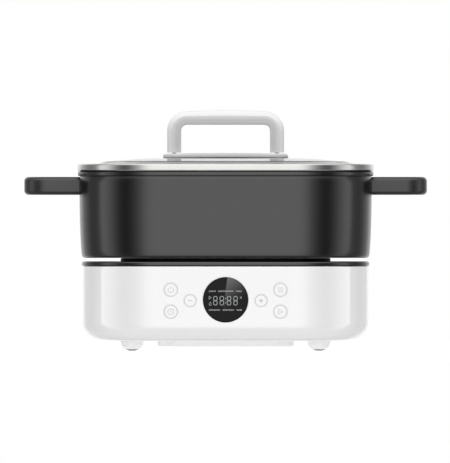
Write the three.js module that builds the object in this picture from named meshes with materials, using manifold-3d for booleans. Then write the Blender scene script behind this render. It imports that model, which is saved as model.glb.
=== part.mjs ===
// A split-type electric multi-cooker: white base unit with controls, lift-off pot and glass lid.
// Millimetres, +Z up, front towards -Y, origin on the ground under the middle of the cooker.

import * as THREE from "three";
import { mergeVertices } from "three/addons/utils/BufferGeometryUtils.js";
import Module from "manifold-3d";

const wasm = await Module();
wasm.setup();

// Plan of the base: a rounded rectangle. Every outline is an inset from it, negative when outside.
const baseLength = 287.6;
const baseDepth = 240;
const planCorner = 75;
const tightestCorner = 8;
const cornerSteps = 5;

// General fits
const seam = 0.3; // between pieces that rest on each other
const fitGap = 0.5; // round a piece that drops into an opening

// Base shell
const standHeight = 9.6;
const shellHeight = 74.7;
const shellWall = 2.6;
const shellFillet = 18;
const coverInset = 25.8;
const coverThickness = 2.2;
const ledgeWidth = 12;
const ledgeThickness = 2.5;
const bossRadius = 6;
const bossHeight = 18;

// Bottom cover plinth and its vent slots
const plinthHalfLength = 68.3;
const plinthHalfDepth = 52;
const plinthCorner = 20;
const plinthDrop = 5.8;
const ventSlotLength = 36;
const ventSlotWidth = 3;
const ventSlotPitch = 9;
const ventSlotCount = 5;

// Feet, on the diagonal of each plan corner
const footInset = 40.5;
const footFlangeRadius = 12;
const footBowlRadius = 11; // widest part of the round foot
const footBowlHeight = 6.6; // floor to the widest part
const footFlangeThickness = 1.3;
const padRadius = 6.1; // part of the pad inside the foot
const padFlat = 3.2; // radius that stands on the floor
const padTip = 1.3; // height of the pad's cap below the foot
const padHeight = 3.2;
const screwClearance = 0.4;

// Deck, heater and temperature probe
const deckInset = 0.2;
const deckThickness = 4.6;
const deckRibThickness = 2;
const deckRibDrop = 4;
const heaterInset = 39.05;
const heaterFlangeWidth = 5.5;
const heaterFlangeThickness = 2.5;
const elementInset = 60;
const elementCorner = 28;
const elementRadius = 4;
const elementEndX = 17;
const elementBend = 9;
const reflectorSheet = 1.2;
const reflectorDepth = 15;
const reflectorWallInset = 43;
const probeRadius = 17;
const probeFlange = 2.5;
const probeTravel = 2.5;
const probeSkirt = 2;
const springTurns = 5;
const springRadius = 9.6;
const springWire = 0.8;
const cutoutRadius = 8;
const cutoutX = 46;

// Pot
const potStandOff = 3.6; // deck top to the pot's underside
const potHeight = 87.1;
const potInset = 0.3;
const potFlare = 2.4;
const potWall = 3;
const potFloor = 4.5;
const potEdgeRadius = 3;
const potInnerFillet = 14;
const lipHeight = 5;
const lipOverhang = 1.7;

// Side handles
const handleReach = 55.3;
const handleHalfLength = 47;
const handleArm = 15;
const handleBar = 17;
const handleThickness = 17.8;
const handleCorner = 22;
const handleInnerCorner = 10;
const handleEdge = 3.5;
const handleBelowLip = 10.2; // underside of the lip to the middle of the handle
const lugHalfWidth = 4.5;
const lugHalfHeight = 4;
const lugLength = 20;

// Lid
const rimOverhang = 0.2;
const rimHeight = 6.5;
const rimCover = 6.8;
const rimFloor = 0.8;
const glassThickness = 3.5;
const glassEdgeGap = 1.3;
const crownRise = 6.2; // rim top to the crown of the glass
const shoulderInset = 32.2;
const shoulderDrop = 3.5;
const plateHalfLength = 62.7;
const plateHalfDepth = 18;
const plateThickness = 4.6;
const loopHalfLength = 58.5;
const loopDepth = 22;
const loopHeight = 42.7;
const loopPost = 14.1;
const loopBar = 13.5;
const loopOuterCorner = 19.5;
const loopInnerCorner = 5.7;
const loopCrown = 1.3;
const loopEdge = 4;
const ventY = 62;

// Controls
const faceRecess = 0.1; // display and keys sit this far behind the shell's face
const displayRadius = 22.5;
const displayRise = 3.85; // above the middle of the shell
const displayFlange = 2;
const keyTravel = 0.6;
const keyFlange = 1.6;
const flangeGap = 0.4; // front wall to the flanges behind it
const flangeThickness = 1.4;
const keyGap = 0.35;
const boardHalfLength = 63;
const boardHalfHeight = 20;
const boardThickness = 1.6;
const boardSetBack = 11.6; // shell's inner face to the board's front
const keySpots = [
  { name: "upper_left", x: -54.5, rise: 10, radius: 7.2 },
  { name: "lower_left", x: -54.5, rise: -11.8, radius: 7.2 },
  { name: "minus", x: -35.3, rise: -0.8, radius: 6.6 },
  { name: "plus", x: 35.3, rise: -0.8, radius: 6.6 },
  { name: "upper_right", x: 54.5, rise: 10, radius: 7.2 },
  { name: "lower_right", x: 54.5, rise: -11.8, radius: 7.2 },
];

// Power board and mains inlet
const powerHalfLength = 50;
const powerHalfDepth = 38;
const powerRise = 22; // plinth floor to the board's underside
const inletHalfWidth = 16;
const inletHalfHeight = 12;
const inletLength = 25;
const inletRise = 32; // base underside to the middle of the inlet
const inletWall = 2.3;
const pinLength = 25.5;
const pinSpots = [
  { name: "live", x: -7, rise: -2 },
  { name: "neutral", x: 7, rise: -2 },
  { name: "earth", x: 0, rise: 2 },
];

// Heights that follow from the sizes above
const deckBottom = standHeight + shellHeight;
const deckTop = deckBottom + deckThickness;
const potBottom = deckTop + potStandOff;
const potTop = potBottom + potHeight;
const rimBottom = potTop + seam;
const rimTop = rimBottom + rimHeight;
const crownTop = rimTop + crownRise;
const plateBottom = crownTop + seam;
const plateTop = plateBottom + plateThickness;
const loopBottom = plateTop + seam;
const heaterTop = potBottom - seam;
const heaterBottom = deckBottom - seam - heaterFlangeThickness;
const reflectorFlangeTop = heaterBottom - seam;
const reflectorBottom = reflectorFlangeTop - reflectorDepth;
const plinthBottom = standHeight - plinthDrop;
const plinthFloor = plinthBottom + coverThickness;
const displayZ = standHeight + shellHeight / 2 + displayRise;
const frontY = -baseDepth / 2;
const innerFrontY = frontY + shellWall;
const boardFrontY = innerFrontY + boardSetBack;
const rearY = baseDepth / 2;
const lipInset = potInset - potFlare - lipOverhang;
const rimInset = lipInset - rimOverhang;
const coverTop = standHeight + coverThickness;
const ledgeBottom = coverTop + seam;
const ledgeTop = ledgeBottom + ledgeThickness;
const screwRadius = 1.7;
const screwHeadRadius = 3.5;
const screwHeadHeight = 2;

// ---------- shape helpers ----------

function solidOf(geometry) {
  const bare = new THREE.BufferGeometry();
  const loose = geometry.index ? geometry.toNonIndexed() : geometry;
  bare.setAttribute("position", loose.getAttribute("position"));
  const merged = mergeVertices(bare, 1e-4);
  const triVerts = new Uint32Array(merged.index.array);
  const vertProperties = merged.attributes.position.array;
  return new wasm.Manifold(new wasm.Mesh({ numProp: 3, vertProperties, triVerts }));
}

function geometryOf(solid) {
  const mesh = solid.getMesh();
  const geometry = new THREE.BufferGeometry();
  geometry.setAttribute("position", new THREE.BufferAttribute(mesh.vertProperties, 3));
  geometry.setIndex(new THREE.BufferAttribute(mesh.triVerts, 1));
  const flat = geometry.toNonIndexed();
  flat.computeVertexNormals();
  return flat;
}

function join(first, ...others) {
  return others.reduce((sum, next) => sum.add(next), first);
}

function cut(first, ...others) {
  return others.reduce((rest, next) => rest.subtract(next), first);
}

// One outline of the plan at a height: the base's rounded rectangle, inset all round.
function ring(inset, z) {
  return {
    halfX: baseLength / 2 - inset,
    halfY: baseDepth / 2 - inset,
    corner: Math.max(planCorner - inset, tightestCorner),
    z,
  };
}

function block(halfX, halfY, corner, z) {
  return { halfX, halfY, corner, z };
}

function outlinePoints({ halfX, halfY, corner }) {
  const radius = Math.min(corner, halfX - 0.01, halfY - 0.01);
  const signs = [
    [1, 1],
    [-1, 1],
    [-1, -1],
    [1, -1],
  ];
  return signs.flatMap(([signX, signY], quarter) =>
    Array.from({ length: cornerSteps + 1 }, (_, step) => {
      const angle = ((quarter + step / cornerSteps) * Math.PI) / 2;
      return [
        signX * (halfX - radius) + radius * Math.cos(angle),
        signY * (halfY - radius) + radius * Math.sin(angle),
      ];
    }),
  );
}

// The closed solid whose cross-sections are the rings, from the lowest to the highest.
function loft(...rings) {
  const outlines = rings.map(outlinePoints);
  const count = outlines[0].length;
  const at = (level, i) => [...outlines[level][i % count], rings[level].z];
  const position = [];
  const last = rings.length - 1;
  for (let i = 0; i < count; i++) {
    for (let level = 0; level < last; level++) {
      position.push(...at(level, i), ...at(level, i + 1), ...at(level + 1, i + 1));
      position.push(...at(level, i), ...at(level + 1, i + 1), ...at(level + 1, i));
    }
    position.push(0, 0, rings[0].z, ...at(0, i + 1), ...at(0, i));
    position.push(0, 0, rings[last].z, ...at(last, i), ...at(last, i + 1));
  }
  const geometry = new THREE.BufferGeometry();
  geometry.setAttribute("position", new THREE.Float32BufferAttribute(position, 3));
  return solidOf(geometry);
}

// A box from its lowest to its highest corner.
function box(lowX, lowY, lowZ, highX, highY, highZ) {
  const geometry = new THREE.BoxGeometry(highX - lowX, highY - lowY, highZ - lowZ);
  geometry.translate((lowX + highX) / 2, (lowY + highY) / 2, (lowZ + highZ) / 2);
  return solidOf(geometry);
}

// A round piece about an upright line through x, y. The profile's points are [radius, z].
function turned(profile, x, y, sides = 20) {
  const geometry = new THREE.LatheGeometry(
    profile.map(([radius, z]) => new THREE.Vector2(radius, z)),
    sides,
  );
  geometry.rotateX(Math.PI / 2);
  geometry.translate(x, y, 0);
  return solidOf(geometry);
}

// The same about a line along Y through x, z. The profile's points are [radius, y].
function turnedAlongY(profile, x, z, sides = 20) {
  const geometry = new THREE.LatheGeometry(
    profile.map(([radius, y]) => new THREE.Vector2(radius, y)),
    sides,
  );
  geometry.translate(x, 0, z);
  return solidOf(geometry);
}

function rod(radius, bottom, top, x, y, sides = 16) {
  const profile = [
    [0, bottom],
    [radius, bottom],
    [radius, top],
    [0, top],
  ];
  return turned(profile, x, y, sides);
}

function rodAlongY(radius, front, back, x, z, sides = 16) {
  const profile = [
    [0, front],
    [radius, front],
    [radius, back],
    [0, back],
  ];
  return turnedAlongY(profile, x, z, sides);
}

// A flat outline raised along Z with rounded edges.
function slab(shape, bottom, top, edge) {
  const geometry = new THREE.ExtrudeGeometry(shape, {
    depth: top - bottom - 2 * edge,
    bevelThickness: edge,
    bevelSize: edge,
    bevelOffset: -edge,
    bevelSegments: 1,
    bevelEnabled: edge > 0,
    curveSegments: 4,
  });
  geometry.translate(0, 0, bottom + edge);
  return geometry;
}

function sweep(curve, radius, steps, sides) {
  const section = new THREE.Shape();
  for (let i = 0; i < sides; i++) {
    const angle = (2 * Math.PI * i) / sides;
    const point = [radius * Math.cos(angle), radius * Math.sin(angle)];
    if (i === 0) section.moveTo(...point);
    else section.lineTo(...point);
  }
  section.closePath();
  const geometry = new THREE.ExtrudeGeometry(section, { steps, extrudePath: curve });
  return solidOf(geometry);
}

// ---------- base ----------

// The four foot places, on the diagonals of the plan corners.
function footSpots() {
  const reach = (planCorner - footInset) * Math.SQRT1_2;
  const x = baseLength / 2 - planCorner + reach;
  const y = baseDepth / 2 - planCorner + reach;
  return [
    { name: "front_left", x: -x, y: -y },
    { name: "front_right", x, y: -y },
    { name: "rear_left", x: -x, y },
    { name: "rear_right", x, y },
  ];
}

// The flat seat behind the front wall for the flange of a key or the display.
function flangeSeat(radius, x, z) {
  return rodAlongY(radius + fitGap, innerFrontY + flangeGap - seam, innerFrontY + 5, x, z, 24);
}

function filletRings(radius, centreInset, centreZ, lowestZ, steps) {
  const start = Math.acos(Math.min(1, (centreZ - lowestZ) / radius));
  return Array.from({ length: steps + 1 }, (_, step) => {
    const angle = start + ((Math.PI / 2 - start) * step) / steps;
    return ring(centreInset - radius * Math.sin(angle), centreZ - radius * Math.cos(angle));
  });
}

function baseShell() {
  const filletTop = standHeight + shellFillet;
  const top = deckBottom - seam;
  const outside = loft(
    ...filletRings(shellFillet, shellFillet, filletTop, standHeight, 5),
    ring(0, top - 0.8),
    ring(0.7, top),
  );
  const cavity = loft(
    ...filletRings(shellFillet - shellWall, shellFillet, filletTop, ledgeTop, 4),
    ring(shellWall, top + 1),
  );
  const opening = loft(ring(coverInset + ledgeWidth, standHeight - 1), ring(coverInset + ledgeWidth, ledgeTop + 1));
  const pocket = loft(ring(coverInset, standHeight - 1), ring(coverInset, ledgeBottom));
  let shell = cut(outside, cavity, opening, pocket);
  for (const { x, y } of footSpots()) {
    const boss = rod(bossRadius, ledgeBottom, ledgeBottom + bossHeight, x, y, 14);
    const bore = rod(screwRadius + screwClearance, ledgeBottom - 1, ledgeBottom + bossHeight - 3, x, y, 10);
    shell = cut(join(shell, boss), bore);
  }
  for (const x of [-30, 30])
    for (const rise of [-boardHalfHeight + 3, boardHalfHeight - 5])
      shell = join(shell, rodAlongY(2.5, innerFrontY - 0.5, boardFrontY - seam, x, displayZ + rise, 8));
  shell = cut(shell, rodAlongY(displayRadius, frontY - 1, innerFrontY + 1, 0, displayZ, 28));
  for (const { x, rise, radius } of keySpots)
    shell = cut(
      shell,
      rodAlongY(radius, frontY - 1, innerFrontY + 1, x, displayZ + rise, 16),
      flangeSeat(radius + keyFlange, x, displayZ + rise),
    );
  shell = cut(shell, flangeSeat(displayRadius + displayFlange, 0, displayZ));
  const inletZ = standHeight + inletRise;
  const halfX = inletHalfWidth + seam;
  const halfZ = inletHalfHeight + seam;
  return cut(shell, box(-halfX, rearY - shellWall - 1, inletZ - halfZ, halfX, rearY + 1, inletZ + halfZ));
}

function bottomCover() {
  const plate = loft(ring(coverInset + 0.4, standHeight), ring(coverInset + 0.4, coverTop));
  const plinth = loft(
    block(plinthHalfLength - 2, plinthHalfDepth - 2, plinthCorner - 2, plinthBottom),
    block(plinthHalfLength - 0.6, plinthHalfDepth - 0.6, plinthCorner - 0.6, plinthBottom + 0.6),
    block(plinthHalfLength, plinthHalfDepth, plinthCorner, plinthBottom + 2),
    block(plinthHalfLength, plinthHalfDepth, plinthCorner, coverTop - 0.5),
  );
  const halfX = plinthHalfLength - coverThickness;
  const halfY = plinthHalfDepth - coverThickness;
  const corner = plinthCorner - coverThickness;
  const hollow = loft(block(halfX, halfY, corner, plinthFloor), block(halfX, halfY, corner, coverTop + 1));
  let cover = cut(join(plate, plinth), hollow);
  for (const x of [-1, 1])
    for (const y of [-1, 1]) {
      const top = plinthFloor + powerRise - seam;
      cover = join(cover, rod(3, plinthFloor - 0.5, top, x * (powerHalfLength - 5), y * (powerHalfDepth - 5), 10));
    }
  for (let i = 0; i < ventSlotCount; i++) {
    const y = (i - (ventSlotCount - 1) / 2) * ventSlotPitch;
    const half = ventSlotWidth / 2;
    const reach = ventSlotLength / 2;
    cover = cut(cover, box(-reach, y - half, plinthBottom - 1, reach, y + half, plinthFloor + 1));
  }
  for (const { x, y } of footSpots())
    cover = cut(cover, rod(screwRadius + screwClearance, standHeight - 1, coverTop + 1, x, y, 10));
  return cover;
}

function bowlRadius(z) {
  const share = 1 - z / footBowlHeight;
  return footBowlRadius * Math.sqrt(1 - share * share);
}

function foot({ x, y }) {
  const top = standHeight - seam;
  const bottom = padTip + seam;
  const flangeBottom = standHeight - footFlangeThickness;
  const recess = padHeight + seam;
  const shoulder = recess + seam + screwHeadHeight + seam;
  const bore = screwRadius + screwClearance;
  const profile = [
    [padRadius + 0.4, bottom],
    ...[bottom, 2.4, 3.4, 4.8, footBowlHeight].map((z) => [bowlRadius(z), z]),
    [footBowlRadius, flangeBottom],
    [footFlangeRadius, flangeBottom],
    [footFlangeRadius, top],
    [bore, top],
    [bore, shoulder],
    [screwHeadRadius + 0.4, shoulder],
    [screwHeadRadius + 0.4, recess],
    [padRadius + 0.4, recess],
    [padRadius + 0.4, bottom],
  ];
  return turned(profile, x, y, 12);
}

function footPad({ x, y }) {
  const profile = [
    [0, 0],
    [padFlat, 0],
    ...[0.5, 0.85, padTip].map((z) => [bowlRadius(z), z]),
    [padRadius, padTip],
    [padRadius, padHeight],
    [0, padHeight],
  ];
  return turned(profile, x, y, 12);
}

function footScrew({ x, y }) {
  const bottom = padHeight + 2 * seam;
  const shoulder = bottom + screwHeadHeight;
  const profile = [
    [0, bottom],
    [screwHeadRadius, bottom],
    [screwHeadRadius, shoulder],
    [screwRadius, shoulder],
    [screwRadius, ledgeBottom + bossHeight - 5],
    [0, ledgeBottom + bossHeight - 5],
  ];
  return turned(profile, x, y, 10);
}

function deckPlate() {
  const plate = loft(
    ring(deckInset + 0.6, deckBottom),
    ring(deckInset, deckBottom + 0.8),
    ring(deckInset, deckTop - 1.2),
    ring(deckInset + 0.4, deckTop - 0.35),
    ring(deckInset + 1.2, deckTop),
  );
  const ribInset = shellWall + fitGap;
  const rib = cut(
    loft(ring(ribInset, deckBottom - deckRibDrop), ring(ribInset, deckBottom + 0.5)),
    loft(ring(ribInset + deckRibThickness, deckBottom - 9), ring(ribInset + deckRibThickness, deckBottom + 1)),
  );
  const opening = loft(ring(heaterInset - fitGap, deckBottom - 9), ring(heaterInset - fitGap, deckTop + 1));
  return cut(join(plate, rib), opening, flangeSeat(displayRadius + displayFlange, 0, displayZ));
}

function heatingPlate() {
  const flangeInset = heaterInset - heaterFlangeWidth;
  const plate = loft(
    ring(heaterInset, heaterBottom),
    ring(heaterInset, heaterTop - 1),
    ring(heaterInset + 1, heaterTop),
  );
  const flange = loft(ring(flangeInset, heaterBottom), ring(flangeInset, heaterBottom + heaterFlangeThickness));
  const bore = rod(probeRadius + fitGap, heaterBottom - 1, heaterTop + 1, 0, 0, 24);
  return cut(join(plate, flange), bore);
}

// A tube round the plate's underside, open at the rear, where its two ends turn down.
function heatingElement() {
  const level = heaterBottom - seam - elementRadius;
  const halfX = baseLength / 2 - elementInset;
  const halfY = baseDepth / 2 - elementInset;
  const centreX = halfX - elementCorner;
  const centreY = halfY - elementCorner;
  const route = [new THREE.Vector3(elementEndX, halfY, reflectorBottom - 8)];
  for (const angle of [Math.PI, (5 * Math.PI) / 6, (2 * Math.PI) / 3, Math.PI / 2]) {
    const x = elementEndX + elementBend * (1 + Math.cos(angle));
    route.push(new THREE.Vector3(x, halfY, level - elementBend * (1 - Math.sin(angle))));
  }
  const legPoints = route.length;
  const corners = [
    [1, 1],
    [1, -1],
    [-1, -1],
    [-1, 1],
  ];
  corners.forEach(([signX, signY], quarter) => {
    for (let step = 0; step <= 4; step++) {
      const angle = ((1 - quarter - step / 4) * Math.PI) / 2;
      const x = signX * centreX + elementCorner * Math.cos(angle);
      const y = signY * centreY + elementCorner * Math.sin(angle);
      route.push(new THREE.Vector3(x, y, level));
    }
  });
  const otherLeg = route.slice(0, legPoints).reverse();
  route.push(...otherLeg.map(({ x, y, z }) => new THREE.Vector3(-x, y, z)));
  return sweep(new THREE.CatmullRomCurve3(route, false, "centripetal"), elementRadius, 56, 6);
}

function heatReflector() {
  const bottom = reflectorBottom;
  const flangeBottom = reflectorFlangeTop - reflectorSheet;
  const flangeInset = heaterInset - heaterFlangeWidth;
  const wall = reflectorWallInset;
  const dish = loft(ring(wall + 4, bottom), ring(wall, bottom + 4), ring(wall, reflectorFlangeTop));
  const flange = loft(ring(flangeInset, flangeBottom), ring(flangeInset, reflectorFlangeTop));
  const inner = wall + reflectorSheet;
  const hollow = loft(
    ring(inner + 3.6, bottom + reflectorSheet),
    ring(inner, bottom + 4.8),
    ring(inner, reflectorFlangeTop + 1),
  );
  const endY = baseDepth / 2 - elementInset;
  const holes = [-elementEndX, elementEndX].map((x) => rod(elementRadius + 1.2, bottom - 1, bottom + 3, x, endY, 12));
  return cut(join(dish, flange), hollow, ...holes);
}

function probeCap() {
  const flangeTop = heaterBottom - seam - probeTravel;
  const flangeBottom = flangeTop - 1.5;
  const inside = probeRadius - probeSkirt;
  const profile = [
    [0, heaterTop - 2],
    [inside, heaterTop - 2],
    [inside, flangeBottom],
    [probeRadius + probeFlange, flangeBottom],
    [probeRadius + probeFlange, flangeTop],
    [probeRadius, flangeTop],
    [probeRadius, heaterTop - 0.8],
    [probeRadius - 0.8, heaterTop],
    [0, heaterTop],
  ];
  return turned(profile, 0, 0, 24);
}

function probeBracket() {
  const bottom = reflectorBottom + reflectorSheet + seam;
  const profile = [
    [0, bottom],
    [24, bottom],
    [24, bottom + 1.5],
    [6, bottom + 1.5],
    [6, heaterTop - 8],
    [0, heaterTop - 8],
  ];
  return turned(profile, 0, 0, 20);
}

function probeSpring() {
  const bottom = reflectorBottom + reflectorSheet + seam + 1.5 + seam + springWire;
  const top = heaterTop - 2 - seam - springWire;
  const helix = new THREE.CatmullRomCurve3(
    Array.from({ length: springTurns * 12 + 1 }, (_, i) => {
      const angle = (Math.PI * i) / 6;
      const rise = (i / (springTurns * 12)) * (top - bottom);
      return new THREE.Vector3(springRadius * Math.cos(angle), springRadius * Math.sin(angle), bottom + rise);
    }),
  );
  return sweep(helix, springWire, springTurns * 12, 5);
}

function thermalCutout() {
  const top = heaterBottom - seam;
  const bottom = top - 7;
  const can = rod(cutoutRadius, bottom, top, cutoutX, 0, 16);
  const wings = box(cutoutX - 5, -14, top - 1.2, cutoutX + 5, 14, top);
  const tabs = [-4, 4].map((y) => box(cutoutX - 3, y - 0.5, bottom - 4, cutoutX + 3, y + 0.5, bottom + 1));
  return join(can, wings, ...tabs);
}

// ---------- controls ----------

function displayWindow() {
  const flangeFront = innerFrontY + flangeGap;
  const profile = [
    [0, frontY + faceRecess],
    [displayRadius - keyGap - 0.3, frontY + faceRecess],
    [displayRadius - keyGap, frontY + faceRecess + 0.3],
    [displayRadius - keyGap, flangeFront],
    [displayRadius + displayFlange, flangeFront],
    [displayRadius + displayFlange, flangeFront + flangeThickness],
    [0, flangeFront + flangeThickness],
  ];
  return turnedAlongY(profile, 0, displayZ, 28);
}

function displayModule() {
  const front = innerFrontY + flangeGap + flangeThickness + seam;
  const half = displayRadius - 4;
  return join(
    box(-half, front + 2, displayZ - half + 4, half, boardFrontY - seam, displayZ + half - 4),
    rodAlongY(half - 1, front, front + 3, 0, displayZ, 24),
  );
}

function key({ x, rise, radius }) {
  const front = frontY + faceRecess;
  const flangeFront = innerFrontY + flangeGap;
  const flangeBack = flangeFront + flangeThickness;
  const stemBack = switchTip() - keyTravel - seam;
  const face = radius - keyGap;
  const profile = [
    [0, front],
    [face, front],
    [face, flangeFront],
    [radius + keyFlange, flangeFront],
    [radius + keyFlange, flangeBack],
    [2.2, flangeBack],
    [2.2, stemBack],
    [0, stemBack],
  ];
  return turnedAlongY(profile, x, displayZ + rise, 16);
}

// The front of a key switch's plunger.
function switchTip() {
  return boardFrontY - seam - 4.8;
}

function keySwitch({ x, rise }) {
  const z = displayZ + rise;
  const back = boardFrontY - seam;
  return join(
    box(x - 3, back - 3.4, z - 3, x + 3, back, z + 3),
    rodAlongY(1.7, switchTip(), back - 3, x, z, 8),
  );
}

function controlBoard() {
  const back = boardFrontY + boardThickness;
  const top = displayZ + boardHalfHeight;
  return box(-boardHalfLength, boardFrontY, displayZ - boardHalfHeight, boardHalfLength, back, top);
}

// ---------- power and inlet ----------

function powerBoard() {
  const bottom = plinthFloor + powerRise;
  const top = bottom + boardThickness;
  return box(-powerHalfLength, -powerHalfDepth, bottom, powerHalfLength, powerHalfDepth, top);
}

function relay() {
  const bottom = plinthFloor + powerRise + boardThickness + seam;
  return join(box(-32, -8, bottom, -4, 6, bottom + 15), box(-30, -6, bottom + 14, -6, 4, bottom + 16));
}

function inletShape(half) {
  const shape = new THREE.Shape();
  const bottom = -half.z;
  shape.moveTo(-half.x, bottom);
  shape.lineTo(half.x, bottom);
  shape.lineTo(half.x, half.z - half.chamfer);
  shape.lineTo(half.x - half.chamfer, half.z);
  shape.lineTo(-half.x + half.chamfer, half.z);
  shape.lineTo(-half.x, half.z - half.chamfer);
  shape.closePath();
  return shape;
}

function inletHousing() {
  const z = standHeight + inletRise;
  const mouth = rearY - faceRecess;
  const back = mouth - inletLength;
  const flangeFront = rearY - shellWall - seam;
  const body = box(-inletHalfWidth, back, z - inletHalfHeight, inletHalfWidth, mouth, z + inletHalfHeight);
  const flangeX = inletHalfWidth + 4;
  const flangeZ = inletHalfHeight + 2;
  const flange = box(-flangeX, flangeFront - 2.3, z - flangeZ, flangeX, flangeFront, z + flangeZ);
  const half = { x: inletHalfWidth - inletWall, z: inletHalfHeight - inletWall, chamfer: 5 };
  const socket = slab(inletShape(half), 0, inletLength, 0);
  socket.rotateX(Math.PI / 2);
  socket.translate(0, mouth + 1 + 0.7, z);
  const pinHoles = pinSpots.map(({ x, rise }) =>
    box(x - 1 - seam, back - 1, z + rise - 3 - seam, x + 1 + seam, back + 6, z + rise + 3 + seam),
  );
  return cut(join(body, flange), solidOf(socket), ...pinHoles);
}

function inletPin({ x, rise }) {
  const z = standHeight + inletRise + rise;
  const back = rearY - inletLength - 8;
  return box(x - 1, back, z - 3, x + 1, back + pinLength, z + 3);
}

// ---------- pot ----------

// Inset of the pot's outer wall at a share of its height: it opens quickly, then stands nearly upright.
function potWallInset(share) {
  return potInset - potFlare * (1 - (1 - share) ** 3);
}

function potBody() {
  const lipBottom = potTop - lipHeight;
  const wallTop = lipBottom - 1;
  const wallHeight = wallTop - potBottom;
  const wall = [0.06, 0.16, 0.32, 0.54, 1].map((share) =>
    ring(potWallInset(share), potBottom + share * wallHeight),
  );
  const outside = loft(
    ring(potInset + potEdgeRadius, potBottom),
    ring(potInset + potEdgeRadius * 0.3, potBottom + potEdgeRadius * 0.3),
    ...wall,
    ring(potWallInset(1) + 0.5, lipBottom - 0.4),
    ring(lipInset + 0.5, lipBottom),
    ring(lipInset, lipBottom + 0.6),
    ring(lipInset, potTop - 0.8),
    ring(lipInset + 0.8, potTop),
  );
  const floorZ = potBottom + potFloor;
  const filletTop = floorZ + potInnerFillet;
  const wallInset = potWallInset(0) + potWall;
  const mouthInset = potWallInset(1) + potWall;
  const inside = loft(
    ...filletRings(potInnerFillet, wallInset + potInnerFillet, filletTop, floorZ, 3),
    ring(mouthInset, lipBottom),
    ring(mouthInset, potTop + 1),
  );
  let pot = outside;
  for (const { signX, signY } of lugSpots()) {
    const root = potSideX() - planCorner / 2;
    const [lowX, highX] = [signX * root, signX * (potSideX() + lugLength)].sort((a, b) => a - b);
    const y = signY * lugY();
    const z = handleZ();
    const lug = box(lowX, y - lugHalfWidth, z - lugHalfHeight, highX, y + lugHalfWidth, z + lugHalfHeight);
    pot = join(pot, lug);
  }
  pot = cut(pot, inside);
  for (const { signX, signY } of lugSpots()) {
    const bore = screwRadius + screwClearance;
    const z = handleZ();
    pot = cut(pot, rod(bore, z - lugHalfHeight - 1, z + lugHalfHeight - 1.2, signX * lugScrewX(), signY * lugY(), 10));
  }
  return pot;
}

function lugSpots() {
  return [
    { name: "left_front", signX: -1, signY: -1 },
    { name: "left_rear", signX: -1, signY: 1 },
    { name: "right_front", signX: 1, signY: -1 },
    { name: "right_rear", signX: 1, signY: 1 },
  ];
}

// The pot wall's furthest place from the middle, under the lip.
function potSideX() {
  return baseLength / 2 - potWallInset(1);
}

function handleZ() {
  return potTop - lipHeight - handleBelowLip;
}

function lugY() {
  return handleHalfLength - handleArm / 2;
}

function lugScrewX() {
  return potSideX() + 11;
}

// A U in plan, from the pot's wall out and back, with a finger opening inside. Its ends fit the wall.
function potHandle(sign) {
  const root = potSideX() - planCorner / 4;
  const outer = potSideX() + handleReach;
  const inner = outer - handleBar;
  const opening = handleHalfLength - handleArm;
  const shape = new THREE.Shape();
  shape.moveTo(root, -handleHalfLength);
  shape.lineTo(outer - handleCorner, -handleHalfLength);
  shape.absarc(outer - handleCorner, -handleHalfLength + handleCorner, handleCorner, -Math.PI / 2, 0);
  shape.absarc(outer - handleCorner, handleHalfLength - handleCorner, handleCorner, 0, Math.PI / 2);
  shape.lineTo(root, handleHalfLength);
  shape.lineTo(root, opening);
  shape.lineTo(inner - handleInnerCorner, opening);
  shape.absarc(inner - handleInnerCorner, opening - handleInnerCorner, handleInnerCorner, Math.PI / 2, 0, true);
  shape.absarc(inner - handleInnerCorner, -opening + handleInnerCorner, handleInnerCorner, 0, -Math.PI / 2, true);
  shape.lineTo(root, -opening);
  shape.closePath();
  const z = handleZ();
  const bottom = z - handleThickness / 2;
  const geometry = slab(shape, bottom, z + handleThickness / 2, handleEdge);
  if (sign < 0) geometry.rotateZ(Math.PI);
  const wallInset = potWallInset(1) - seam;
  const wall = loft(ring(wallInset, bottom - 1), ring(wallInset, z + handleThickness / 2 + 1));
  let handle = cut(solidOf(geometry), wall);
  for (const side of [-1, 1]) {
    const y = side * lugY();
    const far = potSideX() + lugLength + fitGap;
    const [lowX, highX] = [sign * (root - 2), sign * far].sort((a, b) => a - b);
    const halfY = lugHalfWidth + seam;
    const halfZ = lugHalfHeight + seam;
    const x = sign * lugScrewX();
    handle = cut(
      handle,
      box(lowX, y - halfY, z - halfZ, highX, y + halfY, z + halfZ),
      rod(screwRadius + screwClearance, bottom - 1, z, x, y, 10),
      rod(screwHeadRadius + screwClearance, bottom - 1, bottom + 2.7, x, y, 12),
    );
  }
  return handle;
}

function potHandleScrew({ signX, signY }) {
  const bottom = handleZ() - handleThickness / 2;
  const profile = [
    [0, bottom + 0.6],
    [screwHeadRadius, bottom + 0.6],
    [screwHeadRadius, bottom + 2.4],
    [screwRadius, bottom + 2.4],
    [screwRadius, handleZ() + lugHalfHeight - 2],
    [0, handleZ() + lugHalfHeight - 2],
  ];
  return turned(profile, signX * lugScrewX(), signY * lugY(), 10);
}

// ---------- lid ----------

// Depth of the glass's top below its crown, by the distance in from the rim's outside: a shallow
// quartic crown, then a rounded shoulder down to the flat edge that the rim holds.
function glassDrop(inFromRim) {
  const half = baseLength / 2 - rimInset;
  return shoulderDrop * ((half - inFromRim) / (half - shoulderInset)) ** 4;
}

function glassRings(lower) {
  const edgeDrop = crownTop - (rimBottom + rimFloor + seam + glassThickness);
  const shoulder = [
    [glassEdgeGap, edgeDrop],
    [10.5, edgeDrop],
    [16.5, edgeDrop - 0.4],
    [22.2, edgeDrop - 2],
  ];
  const crown = [32.2, 43, 54.2, 72.2, 96].map((inset) => [inset, glassDrop(inset)]);
  return [...shoulder, ...crown].map(([inset, drop]) => ring(rimInset + inset, crownTop - drop - lower));
}

function lidScrewX() {
  return loopHalfLength - loopPost / 2;
}

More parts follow.
